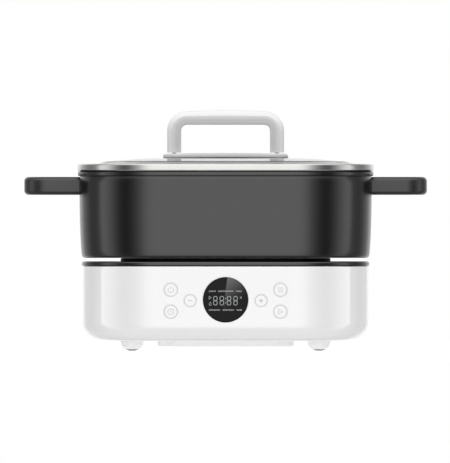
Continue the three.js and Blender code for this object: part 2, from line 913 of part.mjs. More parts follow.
function lidGlass() {
  const edge = rimInset + glassEdgeGap;
  const [edgeRing] = glassRings(0);
  const above = loft(ring(edge, edgeRing.z - glassThickness), ...glassRings(0));
  const below = loft(
    ring(edge + 9.2, edgeRing.z - glassThickness - 1),
    ...glassRings(glassThickness).slice(1),
  );
  const screwHoles = [-1, 1].map((sign) => rod(2.7, crownTop - 12, crownTop + 2, sign * lidScrewX(), 0, 12));
  const ventHole = rod(3.4, crownTop - 12, crownTop + 2, 0, ventY, 12);
  return cut(above, below, ...screwHoles, ventHole);
}

// A rolled steel channel round the edge of the glass.
function lidRim() {
  const outside = loft(
    ring(rimInset + 0.6, rimBottom),
    ring(rimInset, rimBottom + 0.7),
    ring(rimInset, rimTop - 0.9),
    ring(rimInset + 0.5, rimTop - 0.3),
    ring(rimInset + 2.4, rimTop),
  );
  const mouth = loft(ring(rimInset + rimCover, rimBottom - 1), ring(rimInset + rimCover, rimTop + 1));
  const slotBottom = rimBottom + rimFloor;
  const slotTop = slotBottom + glassThickness + 2 * seam;
  const slot = loft(ring(rimInset + glassEdgeGap - seam, slotBottom), ring(rimInset + glassEdgeGap - seam, slotTop));
  return cut(outside, mouth, slot);
}

function lidHandlePlate() {
  const plate = loft(
    block(plateHalfLength - 0.8, plateHalfDepth - 0.8, plateHalfDepth - 0.8, plateBottom),
    block(plateHalfLength, plateHalfDepth, plateHalfDepth, plateBottom + 0.8),
    block(plateHalfLength, plateHalfDepth, plateHalfDepth, plateTop - 1.2),
    block(plateHalfLength - 1.2, plateHalfDepth - 1.2, plateHalfDepth - 1.2, plateTop),
  );
  const holes = [-1, 1].map((sign) => rod(2.5, plateBottom - 1, plateTop + 1, sign * lidScrewX(), 0, 12));
  return cut(plate, ...holes);
}

function lidHandle() {
  const top = loopBottom + loopHeight;
  const side = loopHalfLength;
  const inner = side - loopPost;
  const ceiling = top - loopCrown - loopBar;
  const cornerTop = top - loopCrown;
  const shape = new THREE.Shape();
  shape.moveTo(side, loopBottom);
  shape.lineTo(side, cornerTop - loopOuterCorner);
  shape.absarc(side - loopOuterCorner, cornerTop - loopOuterCorner, loopOuterCorner, 0, Math.PI / 2);
  shape.quadraticCurveTo(0, top + loopCrown, -side + loopOuterCorner, cornerTop);
  shape.absarc(-side + loopOuterCorner, cornerTop - loopOuterCorner, loopOuterCorner, Math.PI / 2, Math.PI);
  shape.lineTo(-side, loopBottom);
  shape.lineTo(-inner, loopBottom);
  shape.lineTo(-inner, ceiling - loopInnerCorner);
  shape.absarc(-inner + loopInnerCorner, ceiling - loopInnerCorner, loopInnerCorner, Math.PI, Math.PI / 2, true);
  shape.lineTo(inner - loopInnerCorner, ceiling);
  shape.absarc(inner - loopInnerCorner, ceiling - loopInnerCorner, loopInnerCorner, Math.PI / 2, 0, true);
  shape.lineTo(inner, loopBottom);
  shape.closePath();
  const geometry = slab(shape, -loopDepth / 2, loopDepth / 2, loopEdge);
  geometry.rotateX(Math.PI / 2);
  const bores = [-1, 1].map((sign) => rod(2.4, loopBottom - 1, loopBottom + 17, sign * lidScrewX(), 0, 10));
  return cut(solidOf(geometry), ...bores);
}

// The washers' top, clear of the curved glass above them.
function lidScrewSeat() {
  return crownTop - glassDrop(baseLength / 2 - rimInset - lidScrewX()) - glassThickness - 2 * seam;
}

function lidWasher(sign) {
  const top = lidScrewSeat();
  const profile = [
    [2.7, top - 1.4],
    [7, top - 1.4],
    [7, top],
    [2.7, top],
    [2.7, top - 1.4],
  ];
  return turned(profile, sign * lidScrewX(), 0, 16);
}

function lidScrew(sign) {
  const headTop = lidScrewSeat() - 1.4 - seam;
  const profile = [
    [0, headTop - 2],
    [4, headTop - 2],
    [4.6, headTop - 1.2],
    [4.6, headTop],
    [2, headTop],
    [2, loopBottom + 15],
    [0, loopBottom + 15],
  ];
  return turned(profile, sign * lidScrewX(), 0, 12);
}

function steamVent() {
  const glassTop = crownTop - glassDrop(baseDepth / 2 - rimInset - ventY);
  const top = glassTop + 0.5;
  const bottom = glassTop - glassThickness - 0.7;
  const profile = [
    [1.8, bottom - 0.8],
    [5.2, bottom - 0.8],
    [5.2, bottom],
    [3, bottom],
    [3, top],
    [5.6, top],
    [5, top + 0.8],
    [1.8, top + 0.8],
    [1.8, bottom - 0.8],
  ];
  return turned(profile, 0, ventY, 16);
}

// ---------- assembly ----------

const finishes = {
  glossWhite: { color: 0xf4f4f3, roughness: 0.16, metalness: 0 },
  deckBlack: { color: 0x2a2a2c, roughness: 0.35, metalness: 0 },
  castPlate: { color: 0x26272a, roughness: 0.55, metalness: 0.3 },
  potCoat: { color: 0x34363a, roughness: 0.42, metalness: 0.2 },
  handleBlack: { color: 0x303134, roughness: 0.6, metalness: 0 },
  clearGlass: { color: 0xe6eaea, roughness: 0.05, metalness: 0 },
  steel: { color: 0xc9cac8, roughness: 0.22, metalness: 1 },
  handlePale: { color: 0xd8d8d8, roughness: 0.45, metalness: 0 },
  plateGrey: { color: 0xbfbfbf, roughness: 0.4, metalness: 0 },
  softRubber: { color: 0x9d9d9d, roughness: 0.8, metalness: 0 },
  silicone: { color: 0x5c5d60, roughness: 0.7, metalness: 0 },
  displayBlack: { color: 0x1c1c1e, roughness: 0.08, metalness: 0 },
  boardGreen: { color: 0x1f5c3a, roughness: 0.5, metalness: 0 },
  moduleGrey: { color: 0x3c3d40, roughness: 0.5, metalness: 0 },
  aluminium: { color: 0xb9babc, roughness: 0.35, metalness: 1 },
  inletBlack: { color: 0x1d1d1f, roughness: 0.5, metalness: 0 },
  brass: { color: 0xc8a860, roughness: 0.3, metalness: 1 },
};

function part(name, solid, finish) {
  const mesh = new THREE.Mesh(geometryOf(solid), new THREE.MeshStandardMaterial(finishes[finish]));
  mesh.name = name;
  return mesh;
}

function buildBase() {
  const base = new THREE.Group();
  base.add(
    part("base_shell", baseShell(), "glossWhite"),
    part("bottom_cover", bottomCover(), "glossWhite"),
    part("deck_plate", deckPlate(), "deckBlack"),
    part("heating_plate", heatingPlate(), "castPlate"),
    part("heating_element", heatingElement(), "steel"),
    part("heat_reflector", heatReflector(), "aluminium"),
    part("probe_cap", probeCap(), "aluminium"),
    part("probe_spring", probeSpring(), "steel"),
    part("probe_bracket", probeBracket(), "steel"),
    part("thermal_cutout", thermalCutout(), "moduleGrey"),
    part("display_window", displayWindow(), "displayBlack"),
    part("display_module", displayModule(), "moduleGrey"),
    part("control_board", controlBoard(), "boardGreen"),
    part("power_board", powerBoard(), "boardGreen"),
    part("relay", relay(), "moduleGrey"),
    part("inlet_housing", inletHousing(), "inletBlack"),
  );
  for (const spot of keySpots) {
    base.add(part("key_" + spot.name, key(spot), "glossWhite"));
    base.add(part("key_switch_" + spot.name, keySwitch(spot), "moduleGrey"));
  }
  for (const spot of pinSpots) base.add(part("inlet_pin_" + spot.name, inletPin(spot), "brass"));
  for (const spot of footSpots()) {
    base.add(part("foot_" + spot.name, foot(spot), "glossWhite"));
    base.add(part("foot_pad_" + spot.name, footPad(spot), "softRubber"));
    base.add(part("foot_screw_" + spot.name, footScrew(spot), "steel"));
  }
  return base;
}

function buildPot() {
  const pot = new THREE.Group();
  pot.add(
    part("pot_body", potBody(), "potCoat"),
    part("pot_handle_left", potHandle(-1), "handleBlack"),
    part("pot_handle_right", potHandle(1), "handleBlack"),
  );
  for (const spot of lugSpots()) pot.add(part("pot_handle_screw_" + spot.name, potHandleScrew(spot), "steel"));
  return pot;
}

function buildLid() {
  const lid = new THREE.Group();
  lid.add(
    part("lid_glass", lidGlass(), "clearGlass"),
    part("lid_rim", lidRim(), "steel"),
    part("lid_handle_plate", lidHandlePlate(), "plateGrey"),
    part("lid_handle", lidHandle(), "handlePale"),
    part("steam_vent", steamVent(), "steel"),
  );
  for (const [side, sign] of [
    ["left", -1],
    ["right", 1],
  ]) {
    lid.add(part("lid_washer_" + side, lidWasher(sign), "silicone"));
    lid.add(part("lid_screw_" + side, lidScrew(sign), "steel"));
  }
  return lid;
}

const cooker = new THREE.Group();
cooker.add(buildBase(), buildPot(), buildLid());

export default cooker;
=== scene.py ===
import math
from math import cos, sin

import bmesh
import bpy
from mathutils import Matrix, Vector


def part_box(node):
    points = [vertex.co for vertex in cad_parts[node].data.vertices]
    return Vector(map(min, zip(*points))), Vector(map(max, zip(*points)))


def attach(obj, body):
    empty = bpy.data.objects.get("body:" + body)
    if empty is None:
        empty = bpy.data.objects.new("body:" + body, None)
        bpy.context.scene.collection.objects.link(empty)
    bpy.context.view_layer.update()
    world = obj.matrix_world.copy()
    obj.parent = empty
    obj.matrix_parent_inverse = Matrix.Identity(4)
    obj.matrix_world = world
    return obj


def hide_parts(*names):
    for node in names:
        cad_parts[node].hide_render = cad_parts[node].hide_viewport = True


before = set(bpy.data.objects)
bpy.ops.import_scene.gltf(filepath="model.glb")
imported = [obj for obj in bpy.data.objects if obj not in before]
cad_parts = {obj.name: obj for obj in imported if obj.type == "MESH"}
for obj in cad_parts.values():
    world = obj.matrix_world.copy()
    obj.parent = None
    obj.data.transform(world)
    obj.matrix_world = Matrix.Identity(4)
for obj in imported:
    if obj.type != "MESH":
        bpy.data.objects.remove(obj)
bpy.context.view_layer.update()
mm = 0.001
print("frame loaded:", len(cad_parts), "nodes")


# places taken from the frame, in millimetres

def boxOf(node):
    low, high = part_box(node)
    return Vector(low) / mm, Vector(high) / mm


def middleOf(node):
    low, high = boxOf(node)
    return [(a + b) / 2 for a, b in zip(low, high)]


def standPoint(node):
    x, y, z = middleOf(node)
    return x, y, 0


shellLow, shellHigh = boxOf("base_shell")
deckLow, deckHigh = boxOf("deck_plate")
potLow, potHigh = boxOf("pot_body")
rimLow, rimHigh = boxOf("lid_rim")
glassLow, glassHigh = boxOf("lid_glass")
loopLow, loopHigh = boxOf("lid_handle")
plateLow, plateHigh = boxOf("lid_handle_plate")
displayLow, displayHigh = boxOf("display_window")

plan = {"corner": 75, "tightestCorner": 8, "cornerSteps": 22, "flatSteps": 5, "flatMargin": 1.2}
halfLength = shellHigh.x
halfDepth = shellHigh.y


# camera

cameraSetup = {"distance": 20000, "lens": 1554, "clipEnd": 1000, "aimX": -0.6, "aimZ": 118.8}


def addCamera():
    data = bpy.data.cameras.new("studioCamera")
    data.lens = cameraSetup["lens"]
    data.clip_end = cameraSetup["clipEnd"]
    camera = bpy.data.objects.new("studioCamera", data)
    bpy.context.collection.objects.link(camera)
    place = Vector((cameraSetup["aimX"], -cameraSetup["distance"], cameraSetup["aimZ"])) * mm
    camera.matrix_world = Matrix.Translation(place) @ Matrix.Rotation(math.pi / 2, 4, "X")
    bpy.context.scene.camera = camera


addCamera()


# shape helpers

def outlinePoints(halfX, halfY, corner):
    # anticlockwise rounded rectangle; extra points on the flats keep the corner's shading off them
    corner = min(corner, halfX - 0.01, halfY - 0.01)
    signs = [(1, 1), (-1, 1), (-1, -1), (1, -1)]
    arcs = []
    for quarter, (signX, signY) in enumerate(signs):
        centre = Vector((signX * (halfX - corner), signY * (halfY - corner)))
        for step in range(plan["cornerSteps"] + 1):
            angle = (quarter + step / plan["cornerSteps"]) * math.pi / 2
            arcs.append((quarter, centre + corner * Vector((cos(angle), sin(angle)))))
    points = []
    for index, (quarter, point) in enumerate(arcs):
        points.append(point)
        nextQuarter, nextPoint = arcs[(index + 1) % len(arcs)]
        if nextQuarter != quarter:
            span = nextPoint - point
            margin = min(plan["flatMargin"] / max(span.length, 0.01), 0.3)
            shares = [margin + (1 - 2 * margin) * i / plan["flatSteps"] for i in range(plan["flatSteps"] + 1)]
            points.extend(point + span * share for share in shares)
    return points


def planOutline(inset):
    corner = max(plan["corner"] - inset, plan["tightestCorner"])
    return outlinePoints(halfLength - inset, halfDepth - inset, corner)


def planRing(inset, z):
    return [Vector((p.x, p.y, z)) for p in planOutline(inset)]


def planRings(spans):
    return [planRing(inset, z) for inset, z in spans]


def blockRing(halfX, halfY, corner, z):
    return [Vector((p.x, p.y, z)) for p in outlinePoints(halfX, halfY, corner)]


def circleLike(ring, radius, z):
    # a circle with one point towards each point of the ring
    return [Vector((p.x, p.y, 0)).normalized() * radius + Vector((0, 0, z)) for p in ring]


def arcSteps(startAngle, endAngle, steps):
    return [math.radians(startAngle + (endAngle - startAngle) * i / steps) for i in range(steps + 1)]


def quarter(steps):
    # a rounded edge of radius 1: how far up each point lies, and how far in
    return [(sin(a), 1 - cos(a)) for a in arcSteps(0, 90, steps)]


def smoothShade(mesh, sharpAngle=40):
    mesh.polygons.foreach_set("use_smooth", [True] * len(mesh.polygons))
    mesh.set_sharp_from_angle(angle=math.radians(sharpAngle))


def placed(name, mesh):
    piece = bpy.data.objects.new(name, mesh)
    bpy.context.collection.objects.link(piece)
    return piece


def buildMesh(name, points, faces, sharpAngle=40):
    mesh = bpy.data.meshes.new(name)
    mesh.from_pydata([tuple(Vector(p) * mm) for p in points], [], faces)
    return addPiece(name, mesh, sharpAngle)


def addPiece(name, mesh, sharpAngle=40):
    mesh.validate()
    smoothShade(mesh, sharpAngle)
    return placed(name, mesh)


def loft(name, rings, closed=False, sharpAngle=40):
    # skin through rings of equal length; closed joins the last to the first, else both ends are capped
    count = len(rings[0])
    points = [p for ring in rings for p in ring]
    faces = []
    for level in range(len(rings) if closed else len(rings) - 1):
        low = level * count
        high = ((level + 1) % len(rings)) * count
        for i in range(count):
            j = (i + 1) % count
            faces.append((low + i, low + j, high + j, high + i))
    if not closed:
        faces.append(tuple(reversed(range(count))))
        faces.append(tuple(range(len(points) - count, len(points))))
    return outward(buildMesh(name, points, faces, sharpAngle))


def outward(piece):
    work = bmesh.new()
    work.from_mesh(piece.data)
    bmesh.ops.remove_doubles(work, verts=work.verts, dist=1e-7)
    bmesh.ops.recalc_face_normals(work, faces=work.faces)
    work.to_mesh(piece.data)
    work.free()
    return piece


def turn(name, profile, centre, axis="Z", sides=64, sharpAngle=35):
    # a piece of revolution; its profile is (radius, along) points
    # a profile that starts on the axis ends there too, and any other is a closed ring
    points = []
    for side in range(sides):
        angle = 2 * math.pi * side / sides
        c, s = cos(angle), sin(angle)
        for r, along in profile:
            spot = (r * c, r * s, along) if axis == "Z" else (r * c, along, r * s)
            points.append(Vector(spot) + Vector(centre))
    count = len(profile)
    spans = count if profile[0][0] > 0 else count - 1
    faces = []
    for side in range(sides):
        here, there = side * count, ((side + 1) % sides) * count
        for i in range(spans):
            j = (i + 1) % count
            faces.append((here + i, there + i, there + j, here + j))
    return outward(buildMesh(name, points, faces, sharpAngle))


def box(name, low, high):
    (x0, y0, z0), (x1, y1, z1) = low, high
    points = [(x, y, z) for z in (z0, z1) for x, y in ((x0, y0), (x1, y0), (x1, y1), (x0, y1))]
    faces = [(3, 2, 1, 0), (4, 5, 6, 7), (0, 1, 5, 4), (1, 2, 6, 5), (2, 3, 7, 6), (3, 0, 4, 7)]
    return buildMesh(name, points, faces)


def baked(piece):
    # the piece with its modifiers applied, as a plain mesh
    graph = bpy.context.evaluated_depsgraph_get()
    mesh = bpy.data.meshes.new_from_object(piece.evaluated_get(graph))
    piece.modifiers.clear()
    piece.data = mesh
    return piece


def cutAway(piece, cutters):
    for cutter in cutters:
        modifier = piece.modifiers.new("cut", "BOOLEAN")
        modifier.operation = "DIFFERENCE"
        modifier.solver = "EXACT"
        modifier.object = cutter
    baked(piece)
    for cutter in cutters:
        bpy.data.objects.remove(cutter)
    smoothShade(piece.data)
    return piece


def rounded(piece, width, segments=3, angle=40):
    modifier = piece.modifiers.new("edges", "BEVEL")
    modifier.width = width * mm
    modifier.segments = segments
    modifier.limit_method = "ANGLE"
    modifier.angle_limit = math.radians(angle)
    baked(piece)
    smoothShade(piece.data, 50)
    return piece


def joined(name, pieces):
    work = bmesh.new()
    for piece in pieces:
        work.from_mesh(piece.data)
    mesh = bpy.data.meshes.new(name)
    work.to_mesh(mesh)
    work.free()
    for piece in pieces:
        bpy.data.objects.remove(piece)
    smoothShade(mesh)
    return placed(name, mesh)


def seat(piece, material, body, slot, *nodes):
    piece.data.materials.clear()
    piece.data.materials.append(material)
    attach(piece, body)
    if nodes:
        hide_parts(*nodes)
    return piece


# materials

def startMaterial(name):
    material = bpy.data.materials.new(name)
    material.use_nodes = True
    tree = material.node_tree
    shader = tree.nodes["Principled BSDF"]
    coordinates = tree.nodes.new("ShaderNodeTexCoord")
    return material, tree, shader, coordinates


def noiseNode(tree, coordinates, scale, detail=3.0, stretch=(1, 1, 1)):
    mapping = tree.nodes.new("ShaderNodeMapping")
    mapping.inputs["Scale"].default_value = stretch
    noise = tree.nodes.new("ShaderNodeTexNoise")
    noise.inputs["Scale"].default_value = scale
    noise.inputs["Detail"].default_value = detail
    tree.links.new(coordinates.outputs["Object"], mapping.inputs["Vector"])
    tree.links.new(mapping.outputs["Vector"], noise.inputs["Vector"])
    return noise


def ramp(tree, source, stops):
    # colours by place along the source, from its low end up
    node = tree.nodes.new("ShaderNodeValToRGB")
    elements = node.color_ramp.elements
    for i, (place, color) in enumerate(stops):
        element = elements[i] if i < 2 else elements.new(place)
        element.position = place
        element.color = (*color, 1)
    tree.links.new(source, node.inputs["Fac"])
    return node.outputs["Color"]


def mathNode(tree, operation, *values):
    node = tree.nodes.new("ShaderNodeMath")
    node.operation = operation
    for socket, value in zip(node.inputs, values):
        if isinstance(value, (int, float)):
            socket.default_value = value
        else:
            tree.links.new(value, socket)
    return node.outputs[0]


def mapRange(tree, source, fromRange=(0, 1), toRange=(0, 1), kind="LINEAR"):
    node = tree.nodes.new("ShaderNodeMapRange")
    node.interpolation_type = kind
    for key, value in zip(("From Min", "From Max", "To Min", "To Max"), (*fromRange, *toRange)):
        node.inputs[key].default_value = value
    tree.links.new(source, node.inputs["Value"])
    return node.outputs["Result"]


def addBump(tree, shader, source, strength, height):
    bump = tree.nodes.new("ShaderNodeBump")
    bump.inputs["Strength"].default_value = strength
    bump.inputs["Distance"].default_value = height * mm
    tree.links.new(source, bump.inputs["Height"])
    tree.links.new(bump.outputs["Normal"], shader.inputs["Normal"])


def surface(name, look):
    # a moulded, cast, coated or rolled finish: slight colour drift, uneven roughness and a fine bump
    material, tree, shader, coordinates = startMaterial(name)
    color = look["color"] if "color" in look else (look["grey"],) * 3
    spread = look.get("drift", 0.04)
    stops = [(0.3, [c * (1 - spread) for c in color]), (0.7, [min(1, c * (1 + spread)) for c in color])]
    drift = noiseNode(tree, coordinates, look.get("driftScale", 18), 4)
    base = ramp(tree, drift.outputs["Fac"], stops)
    # painted light: a painted highlight on the outer band and painted shade over the front, as tones from the outer
    # edge inwards
    if "across" in look:  # tones from the outer edge inwards, by the piece's own attribute
        attribute = tree.nodes.new("ShaderNodeAttribute")
        attribute.attribute_name = "across"
        paintedLightTones = ramp(tree, attribute.outputs["Fac"], [(share, (tone,) * 3) for share, tone in look["across"]])
        product = tree.nodes.new("ShaderNodeMix")
        product.data_type = "RGBA"
        product.blend_type = "MULTIPLY"
        product.inputs["Factor"].default_value = 1
        tree.links.new(base, product.inputs["A"])
        tree.links.new(paintedLightTones, product.inputs["B"])
        base = product.outputs["Result"]
    tree.links.new(base, shader.inputs["Base Color"])
    grain = noiseNode(tree, coordinates, look.get("grain", 400), 4, look.get("stretch", (1, 1, 1)))
    middle, half = look["roughness"], look.get("spread", 0.03)
    rough = mapRange(tree, grain.outputs["Fac"], toRange=(max(0, middle - half), middle + half))
    tree.links.new(rough, shader.inputs["Roughness"])
    if look.get("bump", 0) > 0:
        addBump(tree, shader, grain.outputs["Fac"], look["bump"], look.get("bumpHigh", 0.05))
    for socket, key, usual in (("Metallic", "metallic", 0), ("IOR", "ior", 1.5), ("Coat Weight", "coat", 0),
                               ("Coat Roughness", "coatRough", 0.05), ("Coat IOR", "coatIor", 1.5)):
        shader.inputs[socket].default_value = look.get(key, usual)
    return material


finishes = {
    "glossWhite": {"grey": 0.85, "drift": 0.006, "roughness": 0.12, "spread": 0.02, "grain": 150,
                   "bump": 0.03, "bumpHigh": 0.02, "coat": 1, "coatRough": 0.03, "coatIor": 1.8},
    "coverWhite": {"grey": 0.95, "drift": 0.006, "roughness": 0.2, "spread": 0.03, "grain": 150, "bump": 0.03,
                   "bumpHigh": 0.02},
    "deckBlack": {"grey": 0.006, "drift": 0.1, "ior": 1.75, "roughness": 0.2, "spread": 0.04, "grain": 900,
                  "bump": 0.15, "bumpHigh": 0.02},
    "castPlate": {"color": (0.007, 0.007, 0.0075), "drift": 0.15, "ior": 1.28, "roughness": 0.45,
                  "spread": 0.06, "grain": 700, "bump": 0.3, "bumpHigh": 0.06},
    "potCoat": {"color": (0.003, 0.003, 0.0032), "drift": 0.2, "ior": 1.75, "roughness": 0.24, "spread": 0.04,
                "grain": 1100, "bump": 0.12, "bumpHigh": 0.02, "driftScale": 40},
    "handleBlack": {"color": (0.008, 0.008, 0.0085), "drift": 0.1, "ior": 1.72, "roughness": 0.36,
                    "spread": 0.04, "grain": 1300, "bump": 0.15, "bumpHigh": 0.02},
    "rimSteel": {"color": (0.64, 0.635, 0.62), "drift": 0.02, "roughness": 0.24, "spread": 0.03, "grain": 300,
                 "stretch": (1, 1, 14), "bump": 0.04, "bumpHigh": 0.01, "metallic": 1},
    "plateGrey": {"grey": 0.73, "drift": 0.02, "roughness": 0.3, "grain": 800, "bump": 0.1, "bumpHigh": 0.02},
    "handlePale": {"grey": 0.95, "drift": 0.01, "roughness": 0.36, "grain": 800, "bump": 0.06,
                   "bumpHigh": 0.02,
                   # across: painted highlight on the rounded outer band, painted shade over the front face, lighter
                   # again at the inner edge
                   "across": [(0, 1), (0.3, 0.98), (0.38, 0.84), (0.5, 0.8), (0.62, 0.7), (0.85, 0.68), (1, 0.78)]},
    "footRubber": {"grey": 0.32, "drift": 0.06, "roughness": 0.75, "spread": 0.08, "grain": 1500, "bump": 0.4,
                   "bumpHigh": 0.05},
    "gasketDark": {"color": (0.03, 0.03, 0.031), "drift": 0.08, "roughness": 0.6, "grain": 900, "bump": 0.2,
                   "bumpHigh": 0.03},
    "printGrey": {"grey": 0.5, "drift": 0.02, "roughness": 0.3, "grain": 500},
    "segmentWhite": {"color": (0.42, 0.43, 0.44), "drift": 0.03, "roughness": 0.3, "grain": 300},
    "plainSteel": {"color": (0.6, 0.6, 0.59), "drift": 0.05, "roughness": 0.3, "spread": 0.08, "grain": 600,
                   "stretch": (1, 1, 8), "bump": 0.15, "bumpHigh": 0.02, "metallic": 1},
    "brightAluminium": {"color": (0.78, 0.78, 0.79), "drift": 0.04, "roughness": 0.32, "spread": 0.08,
                        "grain": 250, "stretch": (12, 1, 1), "bump": 0.2, "bumpHigh": 0.02, "metallic": 1},
    "moduleGrey": {"color": (0.06, 0.06, 0.065), "drift": 0.1, "roughness": 0.5, "grain": 1200, "bump": 0.3,
                   "bumpHigh": 0.03},
    "inletBlack": {"color": (0.018, 0.018, 0.019), "drift": 0.1, "roughness": 0.45, "grain": 1600,
                   "bump": 0.5, "bumpHigh": 0.04},
    "pinBrass": {"color": (0.8, 0.62, 0.33), "drift": 0.06, "roughness": 0.25, "spread": 0.06, "grain": 500,
                 "stretch": (1, 10, 1), "bump": 0.1, "bumpHigh": 0.01, "metallic": 1},
}
material = {name: surface(name, look) for name, look in finishes.items()}


glassLook = {"tone": (0.85, 0.855, 0.855, 1), "ior": 1.47, "rippleScale": 22, "roughTo": 0.04, "bump": 0.03,
             "bumpHigh": 0.05}


def glassMaterial():
    # clear tempered glass, very slightly grey, with faint polishing ripple
    glass, tree, shader, coordinates = startMaterial("lidGlass")
    shader.inputs["Base Color"].default_value = glassLook["tone"]
    shader.inputs["Transmission Weight"].default_value = 1
    shader.inputs["IOR"].default_value = glassLook["ior"]
    ripple = noiseNode(tree, coordinates, glassLook["rippleScale"], 2).outputs["Fac"]
    tree.links.new(mapRange(tree, ripple, toRange=(0, glassLook["roughTo"])), shader.inputs["Roughness"])
    addBump(tree, shader, ripple, glassLook["bump"], glassLook["bumpHigh"])
    return glass


# the window's dark tint, and a painted glare that stands in for a reflection on its right side
displayTintAndGlare = {"dark": (0.005, 0.005, 0.0055), "glare": (0.15, 0.15, 0.155), "edgeX": -1.2, "edgeSoft": 0.3,
               "lean": 0.137, "slope": -0.9, "fadeFrom": 23, "fadeTo": -14, "fadeCurve": 1.35,
               "roughness": (0.25, 0.33), "ior": 1.25}


def displayMaterial():
    # tinted window with a painted reflection: a lighter wedge of painted glare on its right side, fading downwards
    window, tree, shader, coordinates = startMaterial("displayTintAndGlare")
    tint = displayTintAndGlare
    separate = tree.nodes.new("ShaderNodeSeparateXYZ")
    tree.links.new(coordinates.outputs["Object"], separate.inputs["Vector"])
    middleZ = (displayLow.z + displayHigh.z) / 2
    height = mathNode(tree, "SUBTRACT", separate.outputs["Z"], middleZ * mm)
    edge = mathNode(tree, "MULTIPLY_ADD", height, tint["lean"], tint["edgeX"] * mm)
    beyond = mathNode(tree, "SUBTRACT", separate.outputs["X"], edge)
    side = mapRange(tree, beyond, (-tint["edgeSoft"] * mm, tint["edgeSoft"] * mm))
    slope = mathNode(tree, "MULTIPLY_ADD", beyond, tint["slope"], height)
    fade = mapRange(tree, slope, (tint["fadeTo"] * mm, tint["fadeFrom"] * mm))
    # painted glare: the lighter colour stands in for a reflection on the window
    paintedGlare = mathNode(tree, "MULTIPLY", mathNode(tree, "POWER", fade, tint["fadeCurve"]), side)
    tree.links.new(ramp(tree, paintedGlare, [(0, tint["dark"]), (1, tint["glare"])]), shader.inputs["Base Color"])
    grain = noiseNode(tree, coordinates, 200, 2).outputs["Fac"]
    tree.links.new(mapRange(tree, grain, toRange=tint["roughness"]), shader.inputs["Roughness"])
    shader.inputs["IOR"].default_value = tint["ior"]
    return window


boardLook = {"Scale": 260, "Mortar Size": 0.06, "Color1": (0.012, 0.11, 0.05, 1),
             "Color2": (0.014, 0.13, 0.055, 1), "Mortar": (0.03, 0.22, 0.09, 1)}


def boardMaterial():
    # solder mask with copper tracks showing as a slightly lighter, raised pattern
    board, tree, shader, coordinates = startMaterial("boardGreen")
    tracks = tree.nodes.new("ShaderNodeTexBrick")
    for key, value in boardLook.items():
        tracks.inputs[key].default_value = value
    tree.links.new(coordinates.outputs["Object"], tracks.inputs["Vector"])
    tree.links.new(tracks.outputs["Color"], shader.inputs["Base Color"])
    addBump(tree, shader, tracks.outputs["Fac"], 0.3, 0.05)
    shader.inputs["Roughness"].default_value = 0.35
    return board


material["lidGlass"] = glassMaterial()
material["displayTintAndGlare"] = displayMaterial()
material["boardGreen"] = boardMaterial()
print("materials:", len(material))


# base shell

shell = {"wall": 2.6, "fillet": 18, "ledgeInset": 37.8, "openingInset": 25.8, "ledgeLow": 2.5, "ledgeHigh": 5,
         "topEdge": 0.8, "keyFlare": 0.15, "displayFlare": 0.9, "inletHalfX": 16.3, "inletHalfZ": 12.3}
keyNames = ["upper_left", "lower_left", "minus", "plus", "upper_right", "lower_right"]


def keyPlace(name):
    x, y, z = middleOf("key_" + name)
    return x, z


keyRadius = {name: 6.6 if name in ("minus", "plus") else 7.2 for name in keyNames}
displayRadius = 22.5
displayZ = (displayLow.z + displayHigh.z) / 2


def holeCutter(radius, x, z, flare):
    # a round hole through the front wall whose rim is rounded over by the flare
    front = -halfDepth
    profile = [(0, front - 3), (radius + flare, front - 3), (radius + flare, front - 0.001)]
    profile += [(radius + flare * (1 - s), front + flare * c) for s, c in quarter(4)[1:]]
    profile += [(radius, front + 8), (0, front + 8)]
    return turn("cutter", profile, (x, 0, z), "Y", 96)


def makeBaseShell():
    bottom, top = shellLow.z, shellHigh.z
    wall, fillet, edge = shell["wall"], shell["fillet"], shell["topEdge"]
    spans = [(fillet * (1 - s), bottom + fillet * c) for s, c in quarter(14)]
    spans += [(0, bottom + fillet + 0.6), (0, top - edge - 0.4)]
    spans += [(edge * c, top - edge + edge * s) for s, c in quarter(4)]
    spans += [(wall, top), (wall, bottom + fillet)]
    inner = fillet - wall
    spans += [(fillet - inner * sin(a), bottom + fillet - inner * cos(a)) for a in arcSteps(90, 34, 5)[1:]]
    ledge, opening, ledgeLow = shell["ledgeInset"], shell["openingInset"], bottom + shell["ledgeLow"]
    spans += [(ledge, bottom + shell["ledgeHigh"]), (ledge, ledgeLow), (opening, ledgeLow), (opening, bottom)]
    piece = loft("base_shell_skin", planRings(spans), closed=True)
    cutters = [holeCutter(keyRadius[name], *keyPlace(name), shell["keyFlare"]) for name in keyNames]
    cutters.append(holeCutter(displayRadius, 0, displayZ, shell["displayFlare"]))
    halfX, halfZ = shell["inletHalfX"], shell["inletHalfZ"]
    middle = middleOf("inlet_housing")[2]
    cutters.append(box("cutter", (-halfX, halfDepth - 6, middle - halfZ), (halfX, halfDepth + 3, middle + halfZ)))
    return seat(cutAway(piece, cutters), material["glossWhite"], "base", "gloss_white", "base_shell")


makeBaseShell()


# keys and their printed symbols

keyLook = {"gap": 0.1, "edge": 0.15, "recess": 0.05, "print": 0.03, "line": 0.55, "signLine": 0.85,
           "ringLine": 0.6, "ringInset": 0.85, "stem": 2.2}
front = -halfDepth


def buttonFace(radius, edge, y):
    # the front of a round button, from its axis out over its rounded rim
    return [(0, y)] + [(radius - edge + edge * s, y + edge * c) for s, c in quarter(4)]


def makeKey(name):
    x, z = keyPlace(name)
    low, high = boxOf("key_" + name)
    face = keyRadius[name] - keyLook["gap"]
    flange, stem = (high.x - low.x) / 2, keyLook["stem"]
    profile = buttonFace(face, keyLook["edge"], front + keyLook["recess"])
    profile += [(face, front + 3), (flange, front + 3), (flange, front + 4.4), (stem, front + 4.4),
                (stem, high.y), (0, high.y)]
    key = turn("key_cap_" + name, profile, (x, 0, z), "Y", 72)
    seat(key, material["glossWhite"], name + "_key", "gloss_white", "key_" + name)


